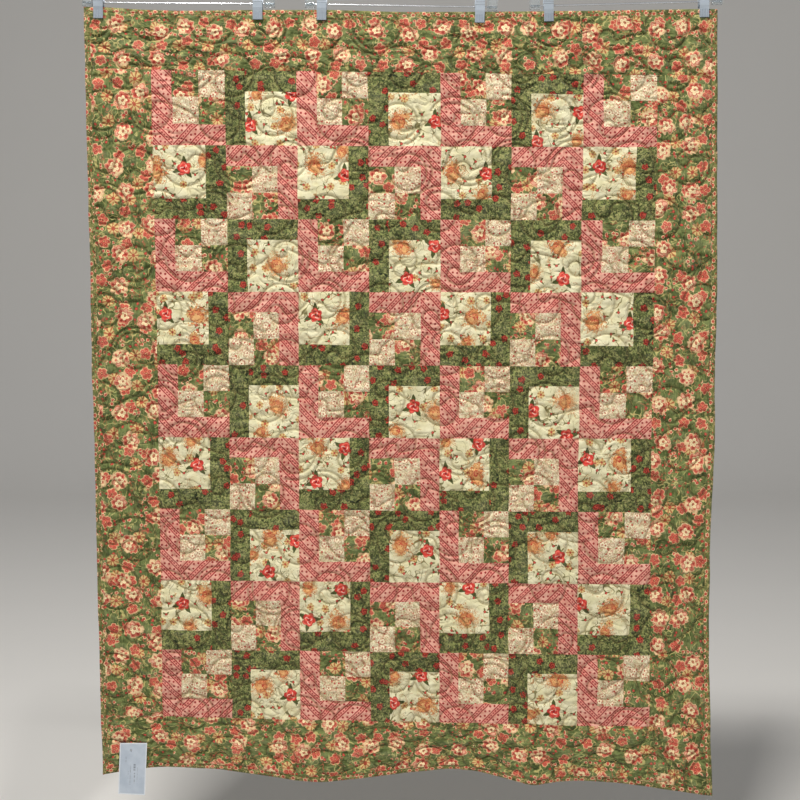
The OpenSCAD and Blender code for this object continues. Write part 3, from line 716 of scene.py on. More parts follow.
def flower(g, col, x, y, turn, R, n, kind, wob, on):
    """Draw one flower over col. kind picks its colours; on is 1 where the cell has it."""
    r, th = g.polar(x, y, turn)
    t = g.petals(r, th, R, n, 0.26, wob)
    body = g.mul(g.st(t, 1.03, 0.93), on)
    streak = g.m("SINE", g.mul(th, n * 2.0 + 1.0))
    if kind == "cream":
        petal = g.mix(g.mul(g.st(streak, -0.1, 0.8), 0.75), (236, 214, 168), (222, 140, 112))
        petal = g.mix(g.st(g.m("COSINE", th), 0.25, 0.7), petal, (212, 104, 86))
        c = g.mix(g.st(t, 0.84, 0.93), petal, (176, 62, 50))
        c = g.mix(g.st(t, 0.70, 0.64), c, (196, 92, 72))
        c = g.mix(g.st(t, 0.60, 0.54), c, (240, 220, 176))
        c = g.mix(g.st(t, 0.36, 0.30), c, (172, 60, 44))
        c = g.mix(g.st(t, 0.25, 0.20), c, (236, 200, 146))
        c = g.mix(g.st(t, 0.14, 0.09), c, (118, 38, 28))
    elif kind == "coral":
        c = g.mix(g.st(streak, -0.2, 0.8), (196, 80, 64), (222, 128, 106))
        c = g.mix(g.st(t, 0.74, 0.84), c, (236, 200, 152))
        c = g.mix(g.st(t, 0.90, 0.97), c, (182, 74, 58))
        c = g.mix(g.st(t, 0.46, 0.38), c, (158, 44, 38))
        c = g.mix(g.st(t, 0.20, 0.14), c, (232, 186, 132))
    elif kind == "star":
        c = g.mix(g.st(streak, -0.2, 0.6), (222, 190, 126), (188, 132, 78))
        c = g.mix(g.st(t, 0.80, 0.92), c, (150, 116, 62))
        c = g.mix(g.st(t, 0.34, 0.26), c, (160, 66, 46))
    elif kind == "rose":
        sw = g.m("SINE", g.add(g.mul(th, 2.0), g.mul(r, 0.95)))
        c = g.mix(g.st(sw, -0.1, 0.7), (204, 56, 48), (234, 104, 86))
        c = g.mix(g.mul(g.st(g.m("SINE", g.add(g.mul(th, 3.0), g.mul(r, -0.6))), 0.62, 0.98), g.st(t, 0.75, 0.45)), c, (248, 206, 188))
        c = g.mix(g.st(t, 0.24, 0.16), c, (150, 18, 24))
        c = g.mix(g.st(t, 0.84, 0.97), c, (172, 36, 36))
    elif kind == "dark":
        c = g.mix(g.st(g.m("SINE", g.add(g.mul(th, 2.0), g.mul(r, 1.6))), 0.0, 0.8), (118, 32, 24), (184, 72, 52))
    elif kind == "ring":
        c = g.mix(g.st(t, 0.60, 0.72), (190, 84, 66), (232, 206, 160))
        c = g.mix(g.st(t, 0.86, 0.96), c, (176, 78, 60))
    else:
        c = g.mix(g.st(t, 0.55, 0.8), (198, 82, 66), (142, 40, 34))
    return g.mix(body, col, c), body


def lobed(g, col, x, y, turn, R, n, kind, on, seed):
    """A flower of round lobes, each with a pale outline, round a cream or a dark heart."""
    r, th = g.polar(x, y, turn)
    rag = g.noise(g.comb(x, y, g.mul(seed, 30.0)), 1 / (R * 0.33), 1.0)
    r = g.mul(r, g.add(0.80, g.mul(rag, 0.40)))
    per = 2 * math.pi / n
    tw = g.wrap(th, per)
    cell = g.m("FLOOR", g.div(g.add(th, per / 2), per))
    size = g.add(0.80, g.mul(g.m("FRACT", g.mul(g.m("SINE", g.add(g.mul(cell, 12.9), g.mul(seed, 40.0))), 43.7)), 0.38))
    rho, rad = (0.64 * R, 0.42 * R) if kind == "cream" else (0.54 * R, 0.47 * R)
    dx = g.sub(g.mul(r, g.m("COSINE", tw)), rho)
    dy = g.mul(r, g.m("SINE", tw))
    dl = g.div(g.m("SQRT", g.add(g.mul(dx, dx), g.mul(dy, dy))), g.mul(size, rad))
    inside = g.mx(g.st(dl, 1.06, 0.92), g.st(r, rho * 0.95, rho * 0.80))
    if kind == "cream":
        lobe = g.mix(g.st(dl, 0.40, 0.28), (200, 106, 84), (154, 46, 36))
        lobe = g.mix(g.st(dl, 0.72, 0.84), lobe, (220, 190, 144))
        side = g.st(g.m("COSINE", g.add(th, 1.2)), 0.3, 0.8)
        lobe = g.mix(g.mul(side, g.st(dl, 0.60, 0.45)), lobe, (226, 168, 138))
        pale = g.gt(size, 1.06)
        lobe = g.mix(g.mul(pale, g.st(dl, 0.80, 0.70)), lobe, (234, 202, 154))
        lobe = g.mix(g.mul(pale, g.st(dl, 0.36, 0.26)), lobe, (206, 112, 90))
        t = g.div(r, R)
        th2 = g.mul(g.add(th, g.mul(seed, 5.0)), n - 2.0)
        scal = g.mul(g.m("COSINE", th2), 0.075)
        ts = g.add(t, scal)
        ring = g.mul(g.st(ts, 0.58, 0.54), g.st(ts, 0.44, 0.49))
        heart = g.st(ts, 0.50, 0.45)
        c = g.mix(g.mul(ring, 0.8), lobe, (172, 66, 50))
        c = g.mix(heart, c, (240, 220, 172))
        vein = g.mul(g.st(g.m("COSINE", g.mul(th2, 2.0)), 0.45, 0.9), g.mul(g.st(t, 0.20, 0.26), g.st(t, 0.44, 0.36)))
        c = g.mix(g.mul(vein, 0.7), c, (198, 110, 86))
        off = g.m("SQRT", g.add(g.m("POWER", g.sub(g.div(x, R), 0.05), 2.0), g.m("POWER", g.add(g.div(y, R), 0.04), 2.0)))
        c = g.mix(g.mul(g.st(off, 0.20, 0.14), 0.9), c, (158, 60, 44))
        c = g.mix(g.st(off, 0.07, 0.04), c, (196, 130, 84))
        c = g.mix(g.mul(g.st(dl, 0.94, 1.04), g.inv(heart)), c, (186, 84, 64))
    elif kind == "coral":
        c = g.mix(g.st(dl, 0.42, 0.28), (200, 98, 78), (160, 46, 36))
        c = g.mix(g.mul(g.st(dl, 0.20, 0.10), 0.8), c, (226, 160, 130))
        c = g.mix(g.st(dl, 0.72, 0.82), c, (224, 188, 140))
        c = g.mix(g.mul(g.st(dl, 0.93, 1.03), 0.8), c, (176, 84, 62))
        t = g.div(r, R)
        c = g.mix(g.st(t, 0.24, 0.18), c, (150, 44, 36))
        c = g.mix(g.st(t, 0.10, 0.06), c, (230, 186, 130))
    elif kind == "pale":
        c = g.mix(g.st(dl, 0.62, 0.80), (242, 228, 192), (184, 104, 82))
        c = g.mix(g.st(g.div(r, R), 0.26, 0.18), c, (176, 84, 62))
    else:
        streak = g.st(g.abs(tw), 0.10, 0.22)
        c = g.mix(streak, (170, 104, 66), (212, 184, 122))
        t = g.div(r, R)
        c = g.mix(g.st(t, 0.34, 0.26), c, (172, 78, 54))
    return g.mix(g.mul(inside, on), col, c)


def floral_ground(g, P, green_a, green_b):
    """Brushed ground: broad dabs with drier streaks across them."""
    n1 = g.noise(P, 1 / 22.0, 3.0, 0.6, 0.6)
    n2 = g.noise(g.vec("MULTIPLY", P, (0.5, 1.6, 1.0)), 1 / 5.0, 3.0, 0.65, 0.5)
    return g.mix(g.st(g.add(g.mul(n1, 0.5), g.mul(n2, 0.5)), 0.38, 0.62), green_a, green_b)


def line_of(g, P, cell, w, seed, dist=0.6):
    """Thin wandering lines: where a smooth noise crosses its middle."""
    n = g.noise(g.vec("ADD", P, (seed, -seed, 0.0)), 1.0 / cell, 0.0, 0.5, dist)
    return g.st(g.abs(g.sub(n, 0.5)), w, w * 0.35)


def frill(g, P):
    """Two scales of ragged edge for the drawn flowers."""
    return g.add(g.mul(g.noise(P, 1 / 5.0, 1.0), 0.9), g.mul(g.noise(g.vec("ADD", P, (31.0, 7.0, 0.0)), 1 / 2.0, 1.0), 0.75))


def make_floral(name, scale=1.0):
    g = G(name)
    P, _ = g.attr("pr")
    Pw = g.wobble(P, 14.0, 5.0)
    Pf = g.wobble(g.wobble(Pw, 5.0, 2.2, 50.0), 2.2, 0.9, 90.0)
    c = floral_ground(g, P, (66, 80, 36), (122, 132, 78))
    dk = g.mul(line_of(g, Pf, 8.0, 0.06, 9.0, 1.0), g.st(g.noise(P, 1 / 15.0, 1.0), 0.46, 0.58))
    c = g.mix(g.mul(dk, 0.40), c, (58, 68, 30))
    # pale scrolls and rusty stems
    sc = g.mul(line_of(g, Pf, 15.0, 0.045, 31.0, 1.1), g.st(g.noise(P, 1 / 24.0, 1.0), 0.42, 0.50))
    c = g.mix(g.mul(sc, 0.85), c, (192, 182, 116))
    sc2 = g.mul(line_of(g, Pf, 9.0, 0.050, 77.0, 0.8), g.st(g.noise(P, 1 / 17.0, 1.0), 0.50, 0.60))
    c = g.mix(g.mul(sc2, 0.8), c, (190, 104, 76))
    # little ringed blossoms in clusters
    x, y, a, b, d = g.motif(Pf, 9.5, 0.8, 215.0)
    c, _ = flower(g, c, x, y, g.mul(a, 6.28), 3.8, 5, "ring", None, g.mul(g.gt(b, 0.35), g.st(g.noise(P, 1 / 26.0, 1.0), 0.54, 0.58)))
    x, y, a, b, d = g.motif(Pf, 16.0, 0.9, 301.0)
    c, _ = flower(g, c, x, y, g.mul(a, 6.28), 2.8, 3, "bud", None, g.gt(b, 0.45))
    x, y, a, b, d = g.motif(Pf, 44.0, 0.6, 120.0)
    c = lobed(g, c, x, y, g.mul(a, 6.28), 10.5, 8, "star", g.gt(b, 0.40), a)
    x, y, a, b, d = g.motif(Pf, 38.0, 0.6, 540.0)
    c = lobed(g, c, x, y, g.mul(a, 6.28), 11.0, 5, "coral", g.gt(b, 0.36), a)
    x, y, a, b, d = g.motif(Pf, 55.0, 0.55, 910.0)
    c = lobed(g, c, x, y, g.mul(a, 6.28), 15.0, 7, "cream", g.gt(b, 0.12), a)
    return g.cloth_finish(c, P, line=0.60)


def make_green(name):
    g = G(name)
    P, _ = g.attr("pr")
    Pw = g.wobble(P, 6.0, 2.6)
    c = floral_ground(g, P, (74, 86, 42), (142, 148, 88))
    sc = g.mul(line_of(g, Pw, 8.0, 0.10, 13.0, 1.3), g.st(g.noise(P, 1 / 12.0, 1.0), 0.36, 0.46))
    c = g.mix(g.mul(sc, 0.8), c, (164, 160, 102))
    sc = g.mul(line_of(g, Pw, 6.5, 0.11, 53.0, 1.2), g.st(g.noise(P, 1 / 9.0, 1.0), 0.38, 0.48))
    c = g.mix(g.mul(sc, 0.85), c, (40, 48, 22))
    sc = g.mul(line_of(g, Pw, 4.0, 0.10, 153.0, 0.8), g.st(g.noise(g.vec("ADD", P, (3, 91, 0)), 1 / 8.0, 1.0), 0.44, 0.54))
    c = g.mix(g.mul(sc, 0.7), c, (52, 60, 28))
    x, y, a, b, d = g.motif(Pw, 7.5, 0.9, 80.0)
    lf = g.mul(g.leaf(x, y, g.mul(a, 6.28), 4.6, 1.1), g.gt(b, 0.3))
    c = g.mix(g.mul(lf, 0.8), c, (36, 44, 20))
    wob = frill(g, P)
    Pq = g.wobble(g.wobble(Pw, 7.0, 3.4, 12.0), 2.4, 1.6, 33.0)
    x, y, a, b, d = g.motif(Pq, 29.0, 0.85, 410.0)
    for k in (0.0, 2.2):
        lf = g.mul(g.leaf(x, y, g.add(g.mul(a, 6.28), k), 10.0, 2.0), g.gt(b, 0.12))
        c = g.mix(lf, c, (34, 44, 20))
    c, _ = flower(g, c, x, y, g.mul(a, 6.28), 6.0, 5, "dark", wob, g.gt(b, 0.18))
    return g.cloth_finish(c, P, line=0.62)


def make_pink(name):
    g = G(name)
    P, _ = g.attr("pr")
    x, y, rnd = g.sep(P)
    wx = g.mul(g.sub(g.noise(P, 1 / 14.0, 1.0), 0.5), 1.6)
    p = g.add(g.mul(g.add(x, y), 0.70711), wx)
    q = g.mul(g.sub(x, y), 0.70711)
    n1 = g.noise(P, 1 / 14.0, 3.0, 0.65)
    c = g.mix(g.st(n1, 0.35, 0.65), (212, 144, 126), (230, 174, 154))
    PER = 20.5
    b = g.wrap(p, PER)
    band = g.st(g.abs(b), 4.1, 3.6)
    c = g.mix(g.mul(band, 0.45), c, (216, 116, 106))
    lines = g.st(g.abs(g.sub(g.abs(b), 3.6)), 1.15, 0.65)
    dots = g.st(g.m("SQRT", g.add(g.m("POWER", g.div(b, 1.6), 2.0), g.m("POWER", g.div(g.wrap(q, 5.6), 2.0), 2.0))), 1.05, 0.75)
    b2 = g.sub(g.abs(g.wrap(g.add(p, PER / 2), PER)), 2.4)
    sgn = g.m("SIGN", g.wrap(g.add(p, PER / 2), PER))
    q2 = g.wrap(g.add(q, g.mul(sgn, 3.2)), 12.8)
    d2 = g.st(g.m("SQRT", g.add(g.m("POWER", b2, 2.0), g.m("POWER", q2, 2.0))), 2.15, 1.6)
    marks = g.mx(g.mx(lines, g.mul(dots, 0.85)), d2)
    worn = g.add(0.80, g.mul(g.noise(P, 1 / 2.2, 2.0), 0.4))
    c = g.mix(g.m("MULTIPLY", marks, worn, clamp=True), c, (148, 28, 36))
    return g.cloth_finish(c, P)


def make_cream_small(name):
    g = G(name)
    P, _ = g.attr("pr")
    Pw = g.wobble(P, 4.0, 2.6)
    n1 = g.noise(P, 1 / 18.0, 3.0, 0.6)
    c = g.mix(g.st(n1, 0.35, 0.65), (230, 220, 180), (241, 234, 201))
    n2 = g.noise(P, 1 / 7.0, 1.0)
    l1 = g.mul(line_of(g, Pw, 4.2, 0.11, 17.0, 1.4), g.st(n2, 0.34, 0.44))
    c = g.mix(g.mul(l1, 0.66), c, (196, 120, 96))
    l2 = g.mul(line_of(g, Pw, 4.6, 0.10, 61.0, 1.4), g.st(g.noise(g.vec("ADD", P, (77, 7, 0)), 1 / 7.0, 1.0), 0.36, 0.46))
    c = g.mix(g.mul(l2, 0.66), c, (150, 142, 88))
    l3 = g.mul(line_of(g, Pw, 9.0, 0.045, 5.0, 0.8), g.st(g.noise(g.vec("ADD", P, (5, 70, 0)), 1 / 12.0, 1.0), 0.40, 0.50))
    c = g.mix(g.mul(l3, 0.7), c, (172, 92, 74))
    x, y, a, b, d = g.motif(Pw, 10.0, 0.9, 33.0)
    c, _ = flower(g, c, x, y, g.mul(a, 6.28), 1.9, 5, "bud", None, g.gt(b, 0.55))
    x, y, a, b, d = g.motif(g.wobble(Pw, 3.0, 1.6, 8.0), 17.0, 0.8, 233.0)
    c = lobed(g, c, x, y, g.mul(a, 6.28), 5.6, 5, "pale", g.gt(b, 0.35), a)
    return g.cloth_finish(c, P)


def paisley(g, col, x, y, turn, S, on):
    """A curled drop: a round head whose tail bends to one side."""
    ca, sa = g.m("COSINE", turn), g.m("SINE", turn)
    a = g.div(g.add(g.mul(x, ca), g.mul(y, sa)), S)
    b = g.div(g.sub(g.mul(y, ca), g.mul(x, sa)), S)
    b = g.sub(b, g.mul(g.mul(a, a), 0.42))
    w = g.mul(g.m("SQRT", g.mx(g.inv(g.mul(a, a)), 0.0)), g.add(0.50, g.mul(a, -0.34)))
    t = g.div(g.abs(b), g.mx(w, 0.02))
    edge = g.add(1.0, g.mul(g.m("SINE", g.mul(a, 19.0)), 0.09))
    t = g.mx(g.div(t, edge), g.st(g.abs(a), 0.80, 1.02))
    body = g.mul(g.st(t, 1.04, 0.94), g.mul(g.gt(1.0, g.abs(a)), on))
    c = g.mix(g.st(t, 0.80, 0.90), (216, 152, 92), (146, 66, 38))
    scal = g.m("SINE", g.mul(a, 24.0))
    c = g.mix(g.mul(g.mul(g.st(scal, -0.1, 0.5), g.st(t, 0.86, 0.76)), g.st(t, 0.52, 0.60)), c, (176, 86, 50))
    c = g.mix(g.mul(g.st(t, 0.54, 0.50), g.st(t, 0.40, 0.45)), c, (158, 84, 48))
    c = g.mix(g.st(t, 0.42, 0.38), c, (224, 172, 112))
    heart = g.m("SQRT", g.add(g.m("POWER", g.add(a, 0.28), 2.0), g.mul(b, b)))
    c = g.mix(g.st(heart, 0.24, 0.19), c, (182, 62, 44))
    c = g.mix(g.st(heart, 0.11, 0.07), c, (226, 150, 100))
    return g.mix(body, col, c)


def make_rose(name):
    g = G(name)
    P, _ = g.attr("pr")
    Pw = g.wobble(P, 9.0, 2.8)
    n1 = g.noise(P, 1 / 24.0, 3.0, 0.6)
    c = g.mix(g.st(n1, 0.35, 0.65), (218, 211, 168), (232, 226, 190))
    v1 = g.mul(line_of(g, Pw, 24.0, 0.016, 11.0, 1.0), g.st(g.noise(P, 1 / 30.0, 1.0), 0.34, 0.44))
    c = g.mix(g.mul(v1, 0.9), c, (112, 104, 56))
    v2 = g.mul(line_of(g, Pw, 14.0, 0.022, 91.0, 0.8), g.st(g.noise(P, 1 / 20.0, 1.0), 0.46, 0.56))
    c = g.mix(g.mul(v2, 0.8), c, (182, 128, 72))
    v3 = g.mul(line_of(g, Pw, 9.0, 0.022, 191.0, 1.3), g.st(g.noise(g.vec("ADD", P, (9, 50, 0)), 1 / 18.0, 1.0), 0.52, 0.60))
    c = g.mix(g.mul(v3, 0.8), c, (124, 116, 66))
    wob = frill(g, P)
    x, y, a, b, d = g.motif(Pw, 20.0, 0.85, 44.0)
    for k in (0.0, 1.9):
        lf = g.mul(g.leaf(x, y, g.add(g.mul(a, 6.28), k), 7.5, 1.5), g.gt(b, 0.25))
        c = g.mix(lf, c, (106, 104, 54))
    c, _ = flower(g, c, x, y, g.mul(a, 6.28), 2.8, 5, "bud", None, g.gt(b, 0.25))
    x, y, a, b, d = g.motif(Pw, 33.0, 0.8, 744.0)
    c = lobed(g, c, x, y, g.mul(a, 6.28), 6.8, 6, "star", g.gt(b, 0.45), a)
    for k in (1, 2):
        Q, _ = g.attr("pz%d" % k)
        x, y, on = g.sep(g.vec("ADD", Q, g.vec("SCALE", g.vec("SUBTRACT", g.noise(P, 1 / 5.0, 1.0, color=True), (0.5, 0.5, 0.5)), scale=3.0)))
        turn = g.mul(g.noise(g.comb(on, k * 3.1), 3.0, 0.0), 9.0)
        c = paisley(g, c, x, y, turn, 25.0 if k == 1 else 18.0, 1.0)
    for k in (1, 2):
        Q, _ = g.attr("rs%d" % k)
        x, y, on = g.sep(g.vec("ADD", Q, g.vec("SCALE", g.vec("SUBTRACT", g.noise(P, 1 / 5.0, 1.0, color=True), (0.5, 0.5, 0.5)), scale=2.6)))
        for ang in (0.6, 2.5, 4.4):
            lf = g.leaf(x, y, ang + k, 22.0, 4.0)
            c = g.mix(lf, c, (74, 80, 38))
        c, _ = flower(g, c, x, y, 0.7 * k, 12.6, 5, "rose", g.mul(wob, 0.7), 1.0)
    return g.cloth_finish(c, P)


def make_binding(name):
    g = G(name)
    P, _ = g.attr("pr")
    Pw = g.wobble(P, 5.0, 1.8)
    c = floral_ground(g, P, (72, 80, 38), (124, 128, 72))
    sc = g.mul(line_of(g, Pw, 6.0, 0.08, 5.0, 1.0), g.st(g.noise(P, 1 / 9.0, 1.0), 0.42, 0.54))
    c = g.mix(g.mul(sc, 0.8), c, (196, 176, 120))
    x, y, a, b, d = g.motif(Pw, 7.0, 0.9, 160.0)
    c, _ = flower(g, c, x, y, g.mul(a, 6.28), 1.5, 4, "bud", None, g.gt(b, 0.55))
    x, y, a, b, d = g.motif(Pw, 14.5, 0.5, 60.0)
    c, _ = flower(g, c, x, y, g.mul(a, 6.28), 4.5, 6, "ring", frill(g, P), g.gt(b, 0.08))
    return g.cloth_finish(c, P, line=0.5)


def make_backing(name):
    g = G(name)
    P, _ = g.attr("pr")
    Pw = g.wobble(P, 9.0, 2.0)
    n1 = g.noise(P, 1 / 60.0, 3.0, 0.6)
    c = g.mix(g.st(n1, 0.35, 0.65), (208, 192, 152), (222, 208, 172))
    l1 = g.mul(line_of(g, Pw, 20.0, 0.022, 17.0, 1.2), g.st(g.noise(P, 1 / 30.0, 1.0), 0.42, 0.54))
    c = g.mix(g.mul(l1, 0.7), c, (168, 148, 100))
    x, y, a, b, d = g.motif(Pw, 34.0, 0.7, 33.0)
    for k in (0.0, 2.4):
        lf = g.mul(g.leaf(x, y, g.add(g.mul(a, 6.28), k), 12.0, 2.6), g.gt(b, 0.25))
        c = g.mix(g.mul(lf, 0.7), c, (150, 140, 88))
    c, _ = flower(g, c, x, y, g.mul(a, 6.28), 5.4, 5, "star", g.noise(P, 1 / 4.0, 1.0), g.gt(b, 0.25))
    return g.cloth_finish(c, P)


FABRIC_MATS = {
    0: make_floral("border_print"), 1: make_pink("pink_stripe"), 2: make_green("dark_green_print"), 3: make_rose("rose_print"),
    4: make_cream_small("small_cream_print"), 5: make_floral("floral_patch_print"), 6: make_binding("binding_print"),
}
BACKING_MAT = make_backing("backing_print")
NODE_OF = {0: "quilt_border", 1: "pink_strips", 2: "green_strips", 3: "rose_squares", 4: "cream_squares", 5: "floral_squares", 6: "quilt_binding"}


# ------------------------------------------------------------------ meshes
def surface(name, P, N, quads, corner_attrs, point_attrs, mat):
    """A mesh from the used points of a grid, with the whole grid's normals so that neighbours meet without a crease."""
    used, inv = np.unique(quads.ravel(), return_inverse=True)
    mesh = bpy.data.meshes.new(name)
    nq = len(quads)
    mesh.vertices.add(len(used))
    mesh.vertices.foreach_set("co", P[used].astype(np.float32).ravel())
    mesh.loops.add(nq * 4)
    mesh.loops.foreach_set("vertex_index", inv.astype(np.int32))
    mesh.polygons.add(nq)
    mesh.polygons.foreach_set("loop_start", np.arange(0, nq * 4, 4, dtype=np.int32))
    mesh.update(calc_edges=True)
    mesh.polygons.foreach_set("use_smooth", np.ones(nq, bool))
    for key, val in corner_attrs.items():
        at = mesh.attributes.new(key, "FLOAT_VECTOR", "CORNER")
        at.data.foreach_set("vector", val.reshape(-1, 3).astype(np.float32).ravel())
    for key, val in point_attrs.items():
        at = mesh.attributes.new(key, "FLOAT", "POINT")
        at.data.foreach_set("value", val[used].astype(np.float32))
    mesh.normals_split_custom_set_from_vertices(N[used].tolist())
    mesh.materials.append(mat)
    ob = bpy.data.objects.new(name, mesh)
    scene.collection.objects.link(ob)
    return ob


def finish_piece(ob, node, body="hanging_set"):
    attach(ob, body)
    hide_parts(node)
    return ob


idx = np.arange(NU * NV).reshape(NV, NU)
F_P, F_N, B_P, B_N = FRONT.reshape(-1, 3), FN.reshape(-1, 3), BACK.reshape(-1, 3), BN.reshape(-1, 3)
H_F, S_F, C_F = HREL.ravel(), STITCH.ravel(), CREASE.ravel()
keys = LABEL * 1000 + CHUNK
for key in np.unique(keys):
    lab_k = int(key // 1000)
    jj, ii = np.nonzero(keys == key)
    patches = PATCH[jj, ii]
    pr = print_coords(jj, ii, patches)
    quads = np.stack([idx[jj, ii], idx[jj + 1, ii], idx[jj + 1, ii + 1], idx[jj, ii + 1]], -1)
    extra = {"pr": pr}
    chunk = int(key % 1000)
    if lab_k == 3:
        rr, cc = chunk // NC, chunk % NC
        mx_, my_ = square_middle(rr, cc)
        cj = np.stack([jj, jj + 1, jj + 1, jj], -1)
        ci = np.stack([ii, ii, ii + 1, ii + 1], -1)
        for tag, table in (("rs", ROSES), ("pz", PAISLEYS)):
            for n_, at in enumerate(table[rr, cc]):
                ox, oy = at if at is not None else (900.0, 900.0)
                q = np.zeros((len(jj), 4, 3))
                q[..., 0] = u_lines[ci] - mx_ - ox
                q[..., 1] = -v_lines[cj] - my_ - oy
                q[..., 2] = (rr * 7 + cc) * 0.137
                extra["%s%d" % (tag, n_ + 1)] = q
    label = {0: "quilt_border", 1: "pink_strips", 2: "green_strips", 3: "rose_square", 4: "cream_squares", 5: "floral_squares", 6: "binding_front"}[lab_k]
    if chunk < 100:
        label += "_r%d_c%d" % (chunk // NC + 1, chunk % NC + 1)
    else:
        label += "_%s_%d" % (["top", "bottom", "left", "right"][(chunk % 100) // 20 if chunk < 200 else (chunk - 300) // 20], chunk % 20 + 1)
    ob = surface(label, F_P, F_N, quads, extra, {"relief": H_F, "stitch": S_F, "crease": C_F}, FABRIC_MATS[lab_k])
    finish_piece(ob, NODE_OF[lab_k])
    if lab_k == 6:
        back_quads = quads[:, ::-1]
        ob = surface(label.replace("front", "back"), B_P, B_N, back_quads, {"pr": pr[:, ::-1]}, {"relief": H_F, "stitch": S_F, "crease": C_F * 0.5}, FABRIC_MATS[6])
        finish_piece(ob, NODE_OF[6])

# backing: every second line inside the binding
ju = np.unique(np.concatenate([np.arange(NB, NU - NB, 2), [NU - NB - 1]]))
jv = np.unique(np.concatenate([np.arange(NB, NV - NB, 2), [NV - NB - 1]]))
sub = idx[np.ix_(jv, ju)]
quads = np.stack([sub[:-1, :-1], sub[:-1, 1:], sub[1:, 1:], sub[1:, :-1]], -1).reshape(-1, 4)
flat_pts = np.stack([-U.ravel(), -V.ravel(), np.zeros(U.size)], -1)
backing = surface("quilt_backing_cloth", B_P, B_N, quads, {"pr": flat_pts[quads]}, {"relief": H_F, "stitch": S_F, "crease": C_F * 0.5}, BACKING_MAT)
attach(backing, "hanging_set")
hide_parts("quilt_backing", "quilt_batting")

# ------------------------------------------------------------------ materials of the hard parts
def obj_coords(g, scale=1000.0):
    n = g.nt.nodes.new("ShaderNodeTexCoord")
    return g.vec("SCALE", n.outputs["Object"], scale=scale)


def metal(name, rgb, rough, brushed=(1, 1, 1), metallic=1.0, wear=(0.6, 0.6, 0.6), aniso=0.0, spots=0.15):
    g = G(name)
    P = obj_coords(g)
    br = g.noise(g.vec("MULTIPLY", P, brushed), 0.9, 4.0, 0.65)
    cloud = g.noise(P, 1 / 60.0, 3.0, 0.6)
    scuff = g.noise(g.vec("MULTIPLY", P, (brushed[1] * 0.3, brushed[0] * 0.3, brushed[2] * 0.3)), 0.5, 3.0, 0.7)
    c = g.mix(g.st(g.add(g.mul(cloud, 0.6), g.mul(br, 0.4)), 0.32, 0.68), tuple(x * 0.90 for x in rgb), rgb)
    c = g.mix(g.mul(g.st(scuff, 0.66, 0.74), spots), c, tuple(min(255, x * 1.25 + 12) for x in rgb))
    g.set(g.b.inputs["Base Color"], c)
    g.b.inputs["Metallic"].default_value = metallic
    g.set(g.b.inputs["Roughness"], g.add(rough - 0.06, g.add(g.mul(br, 0.10), g.mul(cloud, 0.05))))
    g.set(g.b.inputs["Normal"], g.bump(g.add(g.mul(br, 0.6), g.mul(scuff, 0.3)), 0.25, 0.0002))
    return g.mat


def plastic(name, rgb, rough, grain=1.3, strength=0.35):
    g = G(name)
    P = obj_coords(g)
    gr = g.noise(P, grain, 2.0, 0.6)
    cloud = g.noise(P, 1 / 30.0, 3.0, 0.6)
    c = g.mix(g.st(cloud, 0.35, 0.65), rgb, tuple(min(255, x + 14) for x in rgb))
    c = g.mix(g.mul(g.st(g.noise(P, 0.12, 4.0, 0.7), 0.62, 0.72), 0.2), c, tuple(min(255, x + 60) for x in rgb))
    g.set(g.b.inputs["Base Color"], c)
    g.set(g.b.inputs["Roughness"], g.add(rough - 0.05, g.mul(gr, 0.12)))
    g.set(g.b.inputs["Normal"], g.bump(gr, strength, 0.0002))
    return g.mat


def clear(name):
    g = G(name)
    P = obj_coords(g)
    n1 = g.noise(P, 1 / 9.0, 3.0, 0.6)
    n2 = g.noise(P, 0.9, 3.0, 0.7)
    g.set(g.b.inputs["Base Color"], g.mix(n1, (226, 236, 240), (246, 250, 252)))
    g.b.inputs["Transmission Weight"].default_value = 0.92
    g.b.inputs["IOR"].default_value = 1.49
    g.set(g.b.inputs["Roughness"], g.add(0.04, g.mul(g.st(n2, 0.5, 0.75), 0.16)))
    g.set(g.b.inputs["Normal"], g.bump(g.add(n1, g.mul(n2, 0.2)), 0.25, 0.0006))
    return g.mat


